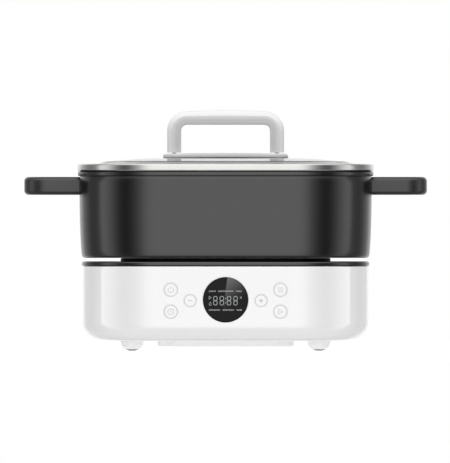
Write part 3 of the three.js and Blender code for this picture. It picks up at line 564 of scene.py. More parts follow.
def strip(points, width, y, closed=False):
    # a flat printed line of even width through the points, in the plane of the front
    path = [Vector((p[0], p[1])) for p in points]
    count = len(path)
    sides = []
    for i, here in enumerate(path):
        before = path[i - 1] if closed or i else here
        after = path[(i + 1) % count] if closed or i + 1 < count else here
        along = (after - before).normalized()
        across = Vector((-along.y, along.x)) * width / 2
        if (closed or 0 < i < count - 1) and before != here and after != here:
            turnIn = (here - before).normalized().dot((after - here).normalized())
            across /= max(0.5, math.sqrt((1 + turnIn) / 2))
        sides.append((here + across, here - across))
    vertices = [(p.x, y, p.y) for pair in sides for p in pair]
    vertices += [(p.x, y + 0.02, p.y) for pair in sides for p in pair]
    back = 2 * count
    faces = []
    for i in range(count if closed else count - 1):
        a, b, c, d = 2 * i, 2 * i + 1, 2 * ((i + 1) % count) + 1, 2 * ((i + 1) % count)
        faces.append((a, b, c, d))
        faces.append((back + a, back + d, back + c, back + b))
        faces.append((a, d, back + d, back + a))
        faces.append((b, back + b, back + c, c))
    if not closed:
        end = 2 * (count - 1)
        faces.append((0, back, back + 1, 1))
        faces.append((end, end + 1, back + end + 1, back + end))
    return outward(buildMesh("mark", vertices, faces))


def arcPath(radius, fromAngle, toAngle, steps=24, centre=(0, 0)):
    return [(centre[0] + radius * cos(a), centre[1] + radius * sin(a))
            for a in arcSteps(fromAngle, toAngle, steps)]


def keySymbol(name):
    # list of (path, closed) in millimetres from the key's middle
    bar = 2.1
    if name == "minus":
        return [([(-bar, 0), (bar, 0)], False)]
    if name == "plus":
        return [([(-bar, 0), (bar, 0)], False), ([(0, -bar), (0, bar)], False)]
    if name == "upper_left":  # power
        return [(arcPath(2.7, 130, 410), False), ([(0, 0.8), (0, 3.6)], False)]
    if name == "lower_left":  # clock
        return [(arcPath(3, 0, 345), True), ([(0, 2), (0, 0), (1.5, -0.9)], False)]
    if name == "upper_right":  # list
        return [([(-2.6, h), (2.6, h)], False) for h in (1.9, 0, -1.9)]
    return [([(-1.7, 2.5), (2.5, 0), (-1.7, -2.5)], True)]  # start


def makeKeyPrint(name):
    x, z = keyPlace(name)
    y = front + keyLook["recess"] - keyLook["print"]
    line = keyLook["signLine"] if name in ("minus", "plus") else keyLook["line"]
    marks = []
    for path, closed in keySymbol(name):
        marks.append(strip([(x + px, z + pz) for px, pz in path], line, y, closed))
    ringPath = arcPath(keyRadius[name] - keyLook["ringInset"], 0, 354, 59, (x, z))
    marks.append(strip(ringPath, keyLook["ringLine"], y, True))
    seat(joined("key_print_" + name, marks), material["printGrey"], name + "_key", "module_grey")


for keyName in keyNames:
    makeKey(keyName)
    makeKeyPrint(keyName)
print("keys made")


# display

digit = {"width": 3.5, "height": 8.9, "line": 0.5, "places": (-10.2, -3.8, 3.4, 9.9), "middle": -0.85,
         "cut": 0.75, "gap": 0.2}
lens = {"gap": 0.25, "recess": 0.1, "edge": 0.5}
wordBars = {8.6: ((-16.4, -9.6), (-7.2, 7.8), (10.5, 15.9)),
            -10.1: ((-16.4, -5.2), (-2.6, 8.7), (11.2, 15.9))}
wordBar = {"halfHeight": 0.55, "length": 1.15, "pitch": 1.55, "trim": 0.35, "line": 0.26}


def makeDisplay():
    radius = displayRadius - lens["gap"]
    flange = (displayHigh.x - displayLow.x) / 2
    profile = buttonFace(radius, lens["edge"], front + lens["recess"])
    profile += [(radius, front + 3), (flange, front + 3), (flange, displayHigh.y), (0, displayHigh.y)]
    window = turn("display_lens", profile, (0, 0, displayZ), "Y", 128)
    seat(window, material["displayTintAndGlare"], "base", "display_black", "display_window")


def makeDisplayMarks():
    y = front + lens["recess"] - keyLook["print"]
    marks = []

    def mark(path, width, closed=False):
        marks.append(strip([(px, displayZ + pz) for px, pz in path], width, y, closed))

    halfW, halfH, cut, gap = digit["width"] / 2, digit["height"] / 2, digit["cut"], digit["gap"]
    for place in digit["places"]:
        for middle in (digit["middle"] + halfH / 2, digit["middle"] - halfH / 2):
            low, high = middle - halfH / 2 + gap, middle + halfH / 2 - gap
            ringPath = [(-halfW, low + cut), (-halfW, high - cut), (-halfW + cut, high), (halfW - cut, high),
                        (halfW, high - cut), (halfW, low + cut), (halfW - cut, low), (-halfW + cut, low)]
            mark([(place + px, pz) for px, pz in ringPath], digit["line"], True)
    for dot in (1.3, -3.0):
        mark([(-0.4, dot), (0.4, dot)], 0.8)
    mark([(-16.4, 3.6), (-14.2, 2.1), (-16.4, 0.6)], 0.35, True)
    drop = [(-15.3, -2.1), (-14.2, -3.9), (-14.6, -5.3), (-15.3, -5.7), (-16.0, -5.3), (-16.4, -3.9)]
    mark(drop, 0.35, True)
    for x in (14.6, 15.7):
        mark([(x, 1.2), (x, 3.4)], 0.4)
    half = wordBar["halfHeight"]
    for rise, bars in wordBars.items():
        for x, end in bars:
            while x < end:
                right = min(x + wordBar["length"], end) - wordBar["trim"]
                outline = [(x, rise - half), (x, rise + half), (right, rise + half), (right, rise - half)]
                mark(outline, wordBar["line"], True)
                x += wordBar["pitch"]
    seat(joined("display_marks", marks), material["segmentWhite"], "base", "module_grey")


makeDisplay()
makeDisplayMarks()
print("display made")


# bottom cover

cover = {"plinthX": 68.3, "plinthY": 52, "plinthCorner": 20, "thickness": 2.2, "edge": 1.6, "rootRound": 0.8,
         "slotLength": 36, "slotWidth": 3, "slotPitch": 9, "slotCount": 5, "slotHeight": 12, "slotLevel": 6}


def growTree(name, finish, inputs, nodes, wires, settings=()):
    # a geometry node tree from tables; what reaches realize is made real and painted
    tree = bpy.data.node_groups.new(name, "GeometryNodeTree")
    sockets = {}
    for key, kind in inputs.items():
        socket = tree.interface.new_socket(key, in_out="INPUT", socket_type="NodeSocket" + kind)
        sockets[key] = socket.identifier
    tree.interface.new_socket("Geometry", in_out="OUTPUT", socket_type="NodeSocketGeometry")
    kinds = {"given": "NodeGroupInput", **nodes, "realize": "GeometryNodeRealizeInstances",
             "paint": "GeometryNodeSetMaterial", "result": "NodeGroupOutput"}
    made = {key: tree.nodes.new(kind) for key, kind in kinds.items()}
    made["paint"].inputs["Material"].default_value = material[finish]
    for key, setting, value in settings:
        setattr(made[key], setting, value)
    wires = wires + [("realize", 0, "paint", "Geometry"), ("paint", 0, "result", "Geometry")]
    for source, output, target, entry in wires:
        tree.links.new(made[source].outputs[output], made[target].inputs[entry])
    return tree, sockets, made


def ventCutters():
    # a row of slot-shaped cutters, placed by a node tree so that count and pitch stay adjustable
    inputs = {"Count": "Int", "Pitch": "Float", "Length": "Float", "Width": "Float", "Height": "Float",
              "Level": "Float"}
    nodes = {"line": "GeometryNodeMeshLine", "cube": "GeometryNodeMeshCube",
             "place": "GeometryNodeInstanceOnPoints"}
    nodes.update({key: "ShaderNodeCombineXYZ" for key in ("offset", "start", "size")})
    nodes.update({key: "ShaderNodeMath" for key in ("lessOne", "back", "half")})
    settings = [("lessOne", "operation", "SUBTRACT"), ("back", "operation", "MULTIPLY"),
                ("half", "operation", "MULTIPLY")]
    wires = [("given", "Count", "line", "Count"), ("given", "Pitch", "offset", "Y"), ("offset", 0, "line", "Offset"),
             ("given", "Count", "lessOne", 0), ("lessOne", 0, "back", 0), ("given", "Pitch", "back", 1),
             ("back", 0, "half", 0), ("half", 0, "start", "Y"), ("given", "Level", "start", "Z"),
             ("start", 0, "line", "Start Location"), ("given", "Length", "size", "X"),
             ("given", "Width", "size", "Y"), ("given", "Height", "size", "Z"), ("size", 0, "cube", "Size"),
             ("line", "Mesh", "place", "Points"), ("cube", "Mesh", "place", "Instance"),
             ("place", 0, "realize", 0)]
    tree, sockets, made = growTree("ventSlots", "coverWhite", inputs, nodes, wires, settings)
    made["lessOne"].inputs[1].default_value = 1
    made["half"].inputs[1].default_value = -0.5
    values = {key: cover["slot" + key] * mm for key in ("Pitch", "Length", "Width", "Height", "Level")}
    return grown("cutter", tree, sockets, {"Count": cover["slotCount"], **values})


def grown(name, tree, sockets, values):
    # a plain mesh made by a geometry node tree
    piece = placed(name, bpy.data.meshes.new(name))
    modifier = piece.modifiers.new("grow", "NODES")
    modifier.node_group = tree
    for key, value in values.items():
        modifier[sockets[key]] = value
    return baked(piece)


def makeBottomCover():
    bottom, top = boxOf("bottom_cover")[0].z, shellLow.z
    x, y, corner, edge = cover["plinthX"], cover["plinthY"], cover["plinthCorner"], cover["edge"]
    rings = []
    for s, c in quarter(5):
        inset = edge * (1 - s)
        rings.append(blockRing(x - inset, y - inset, corner - inset, bottom + edge * c))
    root = cover["rootRound"]
    rings.append(blockRing(x, y, corner, top - root))
    for s, c in quarter(3)[1:]:
        rings.append(blockRing(x + root * c, y + root * c, corner + 0.5, top - root + root * s))
    outer, inside = shell["openingInset"] + 0.4, cover["thickness"]
    rings += planRings([(outer, top), (outer, top + inside)])
    for z in (top + inside, bottom + inside):
        rings.append(blockRing(x - inside, y - inside, corner - inside, z))
    piece = cutAway(loft("bottom_cover_skin", rings), [ventCutters()])
    seat(rounded(piece, 0.25, 2, 60), material["coverWhite"], "base", "gloss_white", "bottom_cover")


makeBottomCover()


# feet

footLook = {"flange": 12, "flangeThick": 1.3, "bowl": 11, "bowlHeight": 6.6, "tip": 1.35, "flat": 3.4}
corners = ["front_left", "front_right", "rear_left", "rear_right"]


def bowlRadius(z):
    share = (footLook["bowlHeight"] - z) / footLook["bowlHeight"]
    return footLook["bowl"] * math.sqrt(max(0, 1 - share * share))


def footProfile():
    top = shellLow.z - 0.05
    flangeLow = top - footLook["flangeThick"]
    tip = footLook["tip"]
    inner = bowlRadius(tip) - 0.5
    profile = [(inner, tip + 0.2), (inner + 0.25, tip + 0.02)]
    profile += [(bowlRadius(tip + 0.12), tip + 0.12)]
    profile += [(bowlRadius(z), z) for z in (1.8, 2.2, 2.7, 3.2, 3.8, 4.4, 5.1, 5.8, 6.6)]
    profile += [(footLook["bowl"], flangeLow - 0.25), (footLook["bowl"] + 0.25, flangeLow),
                (footLook["flange"] - 0.35, flangeLow), (footLook["flange"], flangeLow + 0.3),
                (footLook["flange"], top - 0.15), (footLook["flange"] - 0.15, top), (2.1, top), (2.1, 6.2),
                (inner, 6.2)]
    return profile


def tipProfile():
    # rubber tip that carries on the bowl down to a small flat
    tip = footLook["tip"]
    profile = [(0, 0), (footLook["flat"], 0), (footLook["flat"] + 0.4, 0.06)]
    profile += [(bowlRadius(z), z) for z in (0.3, 0.45, 0.65, 0.9, 1.15)]
    profile += [(bowlRadius(tip) - 0.05, tip - 0.03), (bowlRadius(tip) - 0.6, tip), (bowlRadius(tip) - 0.6, 3.2),
                (0, 3.2)]
    return profile


def makeFeet():
    for name in corners:
        middle = standPoint("foot_" + name)
        foot = turn("foot_body_" + name, footProfile(), middle, "Z", 72)
        seat(foot, material["coverWhite"], "base", "gloss_white", "foot_" + name)
        pad = turn("foot_rubber_" + name, tipProfile(), middle, "Z", 64)
        seat(pad, material["footRubber"], "base", "foot_rubber", "foot_pad_" + name)


makeFeet()
print("shell, cover and feet made")


# deck and heater

deck = {"inset": 0.2, "bulge": 0.9, "topEdge": 1.3, "openingInset": 38.55, "ribInset": 3.1, "ribThick": 2}
heater = {"inset": 39.05, "edge": 1.1, "flangeInset": 33.55, "flangeHigh": 2.5, "bore": 17.5, "trough": 25}


def makeDeck():
    bottom, top = shellHigh.z + 0.3, deckHigh.z
    height = top - bottom
    spans = []
    for angle in arcSteps(-50, 62, 9):  # a softly bulging side
        spans.append((deck["inset"] + deck["bulge"] * (1 - cos(angle)) * 1.3,
                      bottom + height * 0.46 + height * 0.5 * sin(angle)))
    opening, rib = deck["openingInset"], deck["ribInset"]
    ribInner = rib + deck["ribThick"]
    spans += [(deck["inset"] + deck["topEdge"] + 0.3, top), (opening - 2.2, top), (opening - 1.6, top - 0.25),
              (opening - 0.8, top - 0.3), (opening, top - 1.0), (opening, bottom), (ribInner, bottom),
              (ribInner, deckLow.z), (rib, deckLow.z), (rib, bottom)]
    piece = loft("deck_moulding", planRings(spans), closed=True)
    seat(piece, material["deckBlack"], "base", "deck_black", "deck_plate")


ringLook = {"Scale": 160, "Distortion": 0.4}


def heatMaterial():
    # the coated plate with fine turned rings round the probe
    plate = surface("heatPlateTurned", finishes["castPlate"])
    tree = plate.node_tree
    coordinates = next(n for n in tree.nodes if n.type == "TEX_COORD")
    wave = tree.nodes.new("ShaderNodeTexWave")
    wave.wave_type = "RINGS"
    wave.rings_direction = "Z"
    for key, value in ringLook.items():
        wave.inputs[key].default_value = value
    tree.links.new(coordinates.outputs["Object"], wave.inputs["Vector"])
    addBump(tree, tree.nodes["Principled BSDF"], wave.outputs["Fac"], 0.25, 0.05)
    return plate


def makeHeatingPlate():
    low, high = boxOf("heating_plate")
    top, bottom, edge, inset, bore = high.z, low.z, heater["edge"], heater["inset"], heater["bore"]
    around = planRing(inset, 0)
    rings = [circleLike(around, bore, top - 0.7), circleLike(around, bore + 0.7, top - 0.05),
             circleLike(around, bore + 6, top - 0.05), circleLike(around, bore + 6.8, top)]
    spans = [(inset + edge + 1, top)]
    spans += [(inset + edge * (1 - s), top - edge * c) for s, c in quarter(5)]
    flangeTop = bottom + heater["flangeHigh"]
    spans += [(inset, flangeTop), (heater["flangeInset"], flangeTop), (heater["flangeInset"], bottom)]
    rings += planRings(spans) + [circleLike(around, bore, bottom)]
    piece = loft("heating_plate_casting", rings, closed=True)
    seat(piece, heatMaterial(), "base", "cast_plate", "heating_plate")


def makeProbe():
    low, high = boxOf("probe_cap")
    r, flange = 17, (high.x - low.x) / 2
    profile = [(0, high.z - 2), (r - 2, high.z - 2), (r - 2, low.z), (flange, low.z), (flange, low.z + 1.5),
               (r, low.z + 1.5), (r, high.z - 1)]
    for angle in arcSteps(0, 90, 5)[1:]:
        profile.append((r - 1 + cos(angle), high.z - 1 + sin(angle)))
    profile += [(10, high.z), (9.4, high.z - 0.25), (0, high.z - 0.25)]
    seat(turn("probe_button", profile, (0, 0, 0), "Z", 96), material["brightAluminium"], "probe",
         "bright_aluminium", "probe_cap")


makeDeck()
makeHeatingPlate()
makeProbe()
print("deck and heater made")


# pot

pot = {"inset": 0.3, "flare": 2.4, "wall": 3, "wallStart": 0.035, "floor": 4.5, "edge": 3, "innerFillet": 14,
       "lip": 5, "overhang": 1.7, "groove": 0.7, "chamfer": 1.3, "chamferWidth": 3.4}


def potWallInset(share):
    return pot["inset"] - pot["flare"] * (1 - (1 - share) ** 3)


def makePot():
    bottom, top = potLow.z, potHigh.z
    lipLow = top - pot["lip"]
    wallTop = lipLow - 1
    edge, inset, wall, start = pot["edge"], pot["inset"], pot["wall"], pot["wallStart"]
    spans = [(inset + edge + 3, bottom)]
    spans += [(inset + edge * (1 - s), bottom + edge * c) for s, c in quarter(6)]
    for step in range(1, 17):
        share = start + (1 - start) * (step / 16) ** 1.4
        spans.append((potWallInset(share), bottom + share * (wallTop - bottom)))
    wallEdge = potWallInset(1)
    lipInset, groove, mouth = wallEdge - pot["overhang"], wallEdge + pot["groove"], wallEdge + wall
    spans += [(wallEdge + 0.15, wallTop + 0.25), (groove, wallTop + 0.5), (groove, wallTop + 0.75),
              (lipInset + 0.7, lipLow - 0.1)]
    spans += [(lipInset + 0.5 * (1 - s), lipLow + 0.5 * c) for s, c in quarter(3)]
    chamferLow = top - pot["chamfer"]
    spans += [(lipInset, chamferLow - 0.25), (lipInset + 0.07, chamferLow - 0.07), (lipInset + 0.3, chamferLow),
              (lipInset + pot["chamferWidth"], top), (mouth - 0.8, top), (mouth - 0.2, top - 0.25),
              (mouth, top - 0.9), (mouth, lipLow)]
    floorZ, inner = bottom + pot["floor"], pot["innerFillet"]
    wallInset, filletTop = potWallInset(0) + wall, floorZ + inner
    for step in range(1, 6):
        z = filletTop + (lipLow - filletTop) * (1 - step / 6)
        spans.append((potWallInset((z - bottom) / (wallTop - bottom)) + wall, z))
    spans += [(wallInset + inner * (1 - sin(a)), filletTop - inner * cos(a)) for a in arcSteps(90, 0, 9)]
    spans.append((wallInset + inner + 4, floorZ))
    seat(loft("pot_casting", planRings(spans)), material["potCoat"], "pot", "pot_coat", "pot_body")


makePot()


# side handles

sideHandle = {"arm": 15, "bar": 17, "corner": 22, "innerCorner": 10, "edge": 4.2, "gap": 0.1, "crown": 0.5}


def handleOutline(root, reach, half):
    opening = half - sideHandle["arm"]
    inner = reach - sideHandle["bar"]
    big, small = sideHandle["corner"], sideHandle["innerCorner"]

    def bend(x, y, radius, fromAngle, toAngle, steps):
        return [(x + radius * cos(a), y + radius * sin(a)) for a in arcSteps(fromAngle, toAngle, steps)]

    return [(root, -half), *bend(reach - big, -half + big, big, -90, 0, 16),
            *bend(reach - big, half - big, big, 0, 90, 16), (root, half), (root, opening),
            *bend(inner - small, opening - small, small, 90, 0, 8),
            *bend(inner - small, -opening + small, small, 0, -90, 8), (root, -opening)]


def makeSideHandle(side):
    node = "pot_handle_" + side
    low, high = boxOf(node)
    sign = 1 if side == "right" else -1
    reach = max(abs(low.x), abs(high.x))
    root = halfLength - potWallInset(1) + sideHandle["gap"]
    outline = handleOutline(root, reach, high.y)
    work = bmesh.new()
    floor = [work.verts.new(Vector((sign * x, y, low.z)) * mm) for x, y in outline]
    face = work.faces.new(floor)
    raised = bmesh.ops.extrude_face_region(work, geom=[face])
    top = [v for v in raised["geom"] if isinstance(v, bmesh.types.BMVert)]
    bmesh.ops.translate(work, verts=top, vec=(0, 0, (high.z - low.z) * mm))
    bmesh.ops.recalc_face_normals(work, faces=work.faces)
    rootX = sign * root * mm
    edges = [e for e in work.edges
             if abs(e.verts[0].co.z - e.verts[1].co.z) < 1e-6
             and not all(abs(v.co.x - rootX) < 1e-6 for v in e.verts)]
    bmesh.ops.bevel(work, geom=edges, offset=sideHandle["edge"] * mm, segments=6, profile=0.5, affect="EDGES")
    mesh = bpy.data.meshes.new(node)
    work.to_mesh(mesh)
    work.free()
    piece = addPiece("pot_grip_" + side, mesh, 40)
    cutters = []
    for name in ("front", "rear"):
        screwLow, screwHigh = boxOf("pot_handle_screw_" + side + "_" + name)
        middle = ((screwLow.x + screwHigh.x) / 2, (screwLow.y + screwHigh.y) / 2, 0)
        profile = [(0, low.z - 2), (3.9, low.z - 2), (3.9, low.z + 2.7), (0, low.z + 2.7)]
        cutters.append(turn("cutter", profile, middle, "Z", 32))
    seat(cutAway(piece, cutters), material["handleBlack"], "pot", "handle_black", node)


makeSideHandle("left")
makeSideHandle("right")
print("pot made")


# lid

lid = {"shoulderInset": 32.2, "shoulderDrop": 3.5, "flatInset": 12, "thickness": 3.5, "edgeGap": 1.3,
       "rimCover": 6.8}
rimInset = halfLength - rimHigh.x
crownTop = glassHigh.z + 0.14


def glassDrop(inFromRim):
    # shallow crown, then a rounded shoulder down to the flat edge inside the rim
    half = rimHigh.x
    inset, drop, flat = lid["shoulderInset"], lid["shoulderDrop"], lid["flatInset"]
    edgeDrop = crownTop - (glassLow.z + lid["thickness"])
    if inFromRim >= inset:
        return drop * ((half - inFromRim) / (half - inset)) ** 4
    t = (inFromRim - flat) / (inset - flat)
    if t <= 0:
        return edgeDrop
    # cubic from the flat edge to the crown's own slope
    startSlope = 4 * drop / (half - inset) * (inset - flat)
    smooth = t * t * (3 - 2 * t)
    return edgeDrop - (edgeDrop - drop) * smooth + startSlope * (t * t * t - t * t)


def makeGlass():
    gap, thick = lid["edgeGap"], lid["thickness"]
    insets = [gap + 0.4, 6, 11.8, 13.5, 15.5, 17.5, 19.5, 21.5, 23.5, 25.5, 27.5, 29.5, 32.2, 36, 40, 45, 50, 56,
              63, 70, 78, 86, 94, 102, 108, 113]
    above = planRings([(rimInset + i, crownTop - glassDrop(i)) for i in insets])
    below = planRings([(rimInset + i, crownTop - glassDrop(i) - thick) for i in insets])
    middle = planRings([(rimInset + gap, below[0][0].z + 0.4), (rimInset + gap, above[0][0].z - 0.4)])
    piece = loft("lid_dome", below[::-1] + middle + above, sharpAngle=60)
    seat(piece, material["lidGlass"], "lid", "lid_glass", "lid_glass")


def rimTree():
    # a closed section carried round a rounded rectangle
    inputs = {"Length": "Float", "Depth": "Float", "Corner": "Float", "Level": "Float", "Section": "Object",
              "Corner Steps": "Int"}
    nodes = {"outline": "GeometryNodeCurvePrimitiveQuadrilateral", "fillet": "GeometryNodeFilletCurve",
             "section": "GeometryNodeObjectInfo", "asCurve": "GeometryNodeMeshToCurve",
             "sweep": "GeometryNodeCurveToMesh", "lift": "GeometryNodeTransform",
             "offset": "ShaderNodeCombineXYZ"}
    wires = [("given", "Length", "outline", "Width"), ("given", "Depth", "outline", "Height"),
             ("outline", 0, "fillet", "Curve"), ("given", "Corner", "fillet", "Radius"),
             ("given", "Corner Steps", "fillet", "Count"), ("given", "Section", "section", "Object"),
             ("section", "Geometry", "asCurve", "Mesh"), ("fillet", 0, "sweep", "Curve"),
             ("asCurve", 0, "sweep", "Profile Curve"), ("sweep", 0, "lift", "Geometry"),
             ("given", "Level", "offset", "Z"), ("offset", 0, "lift", "Translation"), ("lift", 0, "realize", 0)]
    return growTree("rolledRim", "rimSteel", inputs, nodes, wires, [("fillet", "mode", "POLY")])[:2]


rim = {"height": 6.5, "sheet": 0.8, "lowEdge": 0.3, "shoulder": 1.5, "roll": 1.1, "cornerSteps": 40}


def rimSection():
    # the rolled channel, from its outer face: (outset from the curve, height)
    height, sheet, cover = rim["height"], rim["sheet"], lid["rimCover"]
    low, shoulder, roll = rim["lowEdge"], rim["shoulder"], rim["roll"] / 2
    points = [(-low + low * cos(a), low + low * sin(a)) for a in arcSteps(-90, 0, 5)]
    points += [(-shoulder + shoulder * cos(a), height - 0.3 - shoulder + shoulder * sin(a))
               for a in arcSteps(0, 80, 6)]
    points += [(-cover + 1.2 + roll * cos(a), height - roll + roll * sin(a)) for a in arcSteps(80, 270, 8)]
    return points + [(-1.6, height - 2 * roll - 0.1), (-0.9, height - 2.2), (-0.9, sheet + 0.6), (-1.5, sheet),
                     (-cover + 0.4, sheet), (-cover + 0.2, sheet * 0.5), (-cover + 0.5, 0)]


def makeRim():
    points = rimSection()
    count = len(points)
    mesh = bpy.data.meshes.new("rimSection")
    mesh.from_pydata([(x * mm, -z * mm, 0) for x, z in points], [(i, (i + 1) % count) for i in range(count)], [])
    section = placed("rimSection", mesh)
    values = {"Length": 2 * rimHigh.x * mm, "Depth": 2 * rimHigh.y * mm,
              "Corner": (plan["corner"] - rimInset) * mm, "Level": rimLow.z * mm, "Section": section,
              "Corner Steps": rim["cornerSteps"]}
    piece = grown("lid_rim_rolled", *rimTree(), values)
    bpy.data.objects.remove(section)
    smoothShade(outward(piece).data, 50)
    seat(piece, material["rimSteel"], "lid", "rim_steel", "lid_rim")


makeGlass()
makeRim()


# lid handle

loop = {"post": 14.1, "bar": 13.5, "outerCorner": 19.5, "innerCorner": 5.7, "crown": 1.3, "band": 5.0,
        "innerEdge": 1.0, "steps": 24}
plateLook = {"endDrop": 1.0, "underDrop": 0.45, "edge": 2.3, "gasket": 0.45}


def loopPath(inset, ceilingInset, y):
    # the upside-down U at a distance in from its outer edge, as points from right foot to left foot
    top = loopHigh.z
    side = loopHigh.x
    corner = loop["outerCorner"]
    cornerTop = top - loop["crown"]
    radius = max(corner - inset, loop["innerCorner"])
    x = side - inset
    ceiling = cornerTop - ceilingInset
    centreX, centreZ = x - radius, ceiling - radius
    points = [(x, loopLow.z), (x, loopLow.z + 0.6), (x, centreZ - 1)]
    points += [(centreX + radius * cos(a), centreZ + radius * sin(a))
               for a in arcSteps(0, 90, loop["steps"])]
    lift = loop["crown"] * (1 - inset / loop["post"])
    half = [(centreX * (1 - i / 8), ceiling + lift * (1 - (1 - i / 8) ** 2)) for i in range(1, 9)]
    points += half
    full = points + [(-px, pz) for px, pz in reversed(points[:-1])]
    return [Vector((px, y, pz)) for px, pz in full]


def distanceTo(path, spot):
    # distance in the plane of the front from a point to a line of points
    nearest = 1e9
    for a, b in zip(path, path[1:]):
        runX, runZ = b.x - a.x, b.z - a.z
        length = runX * runX + runZ * runZ
        share = max(0, min(1, ((spot.x - a.x) * runX + (spot.z - a.z) * runZ) / length)) if length else 0
        nearest = min(nearest, math.hypot(spot.x - a.x - share * runX, spot.z - a.z - share * runZ))
    return nearest


def makeLoop():
    # sections from the outer mid line over the front to the inner edge and round the back
    depth = loopHigh.y
    post, bar, band, inner = loop["post"], loop["bar"], loop["band"], loop["innerEdge"]
    section = []
    for angle in arcSteps(0, 78, 8):
        section.append((band * (1 - cos(angle)), -depth + 0.9 + (depth - 0.9 - 4.6) * (1 - sin(angle))))
    section[-1] = (band - 0.35, -depth + 0.75)
    section += [(band, -depth + 0.45), (band + 0.2, -depth + 0.18), (band + 1.2, -depth + 0.04),
                (band + 3, -depth), (post - inner - 1.2, -depth)]
    for angle in arcSteps(0, 90, 4):
        section.append((post - inner + inner * sin(angle), -depth + inner * (1 - cos(angle))))
    section = [(0, -depth + 7.5)] + [p for p in section if p[0] > 0.001]
    fullSection = section + [(inset, -y) for inset, y in reversed(section)]
    rings = []
    for inset, y in fullSection:
        ceilingInset = inset * bar / post
        rings.append(loopPath(inset, ceilingInset, y))
    count = len(rings[0])
    points = [p for ring in rings for p in ring]
    total = len(rings)
    faces = []
    for level in range(total):
        low, high = level * count, ((level + 1) % total) * count
        for i in range(count - 1):
            faces.append((low + i, low + i + 1, high + i + 1, high + i))
    faces.append(tuple(level * count for level in range(total)))
    faces.append(tuple(level * count + count - 1 for level in reversed(range(total))))
    piece = outward(buildMesh("lid_loop", points, faces, 32))
    seat(piece, material["handlePale"], "lid", "handle_pale", "lid_handle")
    # distance in from the outer edge, read by the painted highlight and shade tones of the handle's finish
    outline = [Vector((p.x, 0, min(p.z, loopHigh.z - loop["crown"]))) for p in loopPath(0, 0, 0)]
    across = piece.data.attributes.new("across", "FLOAT", "POINT")
    for vertex in piece.data.vertices:
        across.data[vertex.index].value = distanceTo(outline, vertex.co / mm) / post


def makePlate():
    halfX, halfY = plateHigh.x, plateHigh.y
    edge, top, bottom = plateLook["edge"], plateHigh.z, plateLow.z

    def bent(inset, z, drop):
        ring = blockRing(halfX - inset, halfY - inset, halfY - inset, z)
        return [Vector((p.x, p.y, p.z - drop * (p.x / halfX) ** 2)) for p in ring]

    under, over = plateLook["underDrop"], plateLook["endDrop"]
    rings = [bent(3, bottom, under), bent(0.9, bottom, under)]
    for angle in arcSteps(0, 90, 3):
        rings.append(bent(0.6 * (1 - sin(angle)), bottom + 0.6 * (1 - cos(angle)), under))
    for angle in arcSteps(0, 90, 6):
        rings.append(bent(edge * (1 - cos(angle)), top - edge + edge * sin(angle), over))
    rings.append(bent(edge + 3, top, over))
    seat(loft("lid_plate", rings), material["plateGrey"], "lid", "plate_grey", "lid_handle_plate")
    gasket = plateLook["gasket"]
    seal = [bent(3, bottom - gasket + 0.12, under * 0.9), bent(1.0, bottom - gasket + 0.12, under * 0.9),
            bent(0.8, bottom - gasket * 0.5, under), bent(1.0, bottom - 0.02, under), bent(3, bottom - 0.02, under)]
    seat(loft("lid_plate_seal", seal), material["gasketDark"], "lid", "silicone")


makeLoop()
makePlate()


def makeVent():
    middle = standPoint("steam_vent")
    over = crownTop - glassDrop(rimHigh.y - middle[1])
    under = over - lid["thickness"]
    profile = [(1.8, under - 1.3), (4.4, under - 1.3), (5.2, under - 0.9), (5.2, under - 0.3), (3.0, under - 0.2),
               (3.0, over + 0.1), (5.6, over + 0.1), (5.6, over + 0.45), (5.0, over + 0.9), (3.6, over + 1.15),
               (2.4, over + 0.9), (1.8, over + 0.2)]
    seat(turn("vent_eyelet", profile, middle, "Z", 64), material["plainSteel"], "lid", "steel", "steam_vent")


makeVent()
print("lid made")


# screws

def screwShape(size, length):
    # a cross-recessed screw standing on its head at z 0, shank upwards
    head, high, shank, dome = size["head"], size["headHeight"], size["shank"], size["dome"]
    profile = [(0, 0), (head - 0.6, 0), (head - 0.15, dome * 0.3 + 0.1), (head, dome + 0.2), (head, high),
               (shank, high), (shank, length - shank), (0, length)]
    blank = turn("screwBlank", profile, (0, 0, 0), "Z", 32)
    reach, thin = head * 0.55, head * 0.13
    cutters = [box("cutter", (-reach, -thin, -1), (reach, thin, 1.1)),
               box("cutter", (-thin, -reach, -1), (thin, reach, 1.1))]
    return cutAway(blank, cutters)


def screwTree():
    # one screw on each given point
    inputs = {"Screw": "Object", "Spots": "Object", "Scale": "Float"}
    nodes = {"screwInfo": "GeometryNodeObjectInfo", "spotInfo": "GeometryNodeObjectInfo",
             "place": "GeometryNodeInstanceOnPoints"}
    wires = [("given", "Screw", "screwInfo", "Object"), ("given", "Spots", "spotInfo", "Object"),
             ("spotInfo", "Geometry", "place", "Points"), ("screwInfo", "Geometry", "place", "Instance"),
             ("given", "Scale", "place", "Scale"), ("place", 0, "realize", 0)]
    return growTree("screwRow", "plainSteel", inputs, nodes, wires)[:2]


screwRowTree, screwSockets = screwTree()


screwRows = {
    "foot_screws": {"nodes": ["foot_screw_" + c for c in corners], "body": "base", "head": 3.3,
                    "headHeight": 2, "shank": 1.6, "dome": 0.4},
    "grip_screws": {"nodes": ["pot_handle_screw_" + s for s in ("left_front", "left_rear", "right_front",
                                                                "right_rear")],
                    "body": "pot", "head": 3.3, "headHeight": 1.8, "shank": 1.6, "dome": 0.4},
    "lid_screws": {"nodes": ["lid_screw_left", "lid_screw_right"], "body": "lid", "head": 4.5,
                   "headHeight": 2, "shank": 1.9, "dome": 0.7},
}


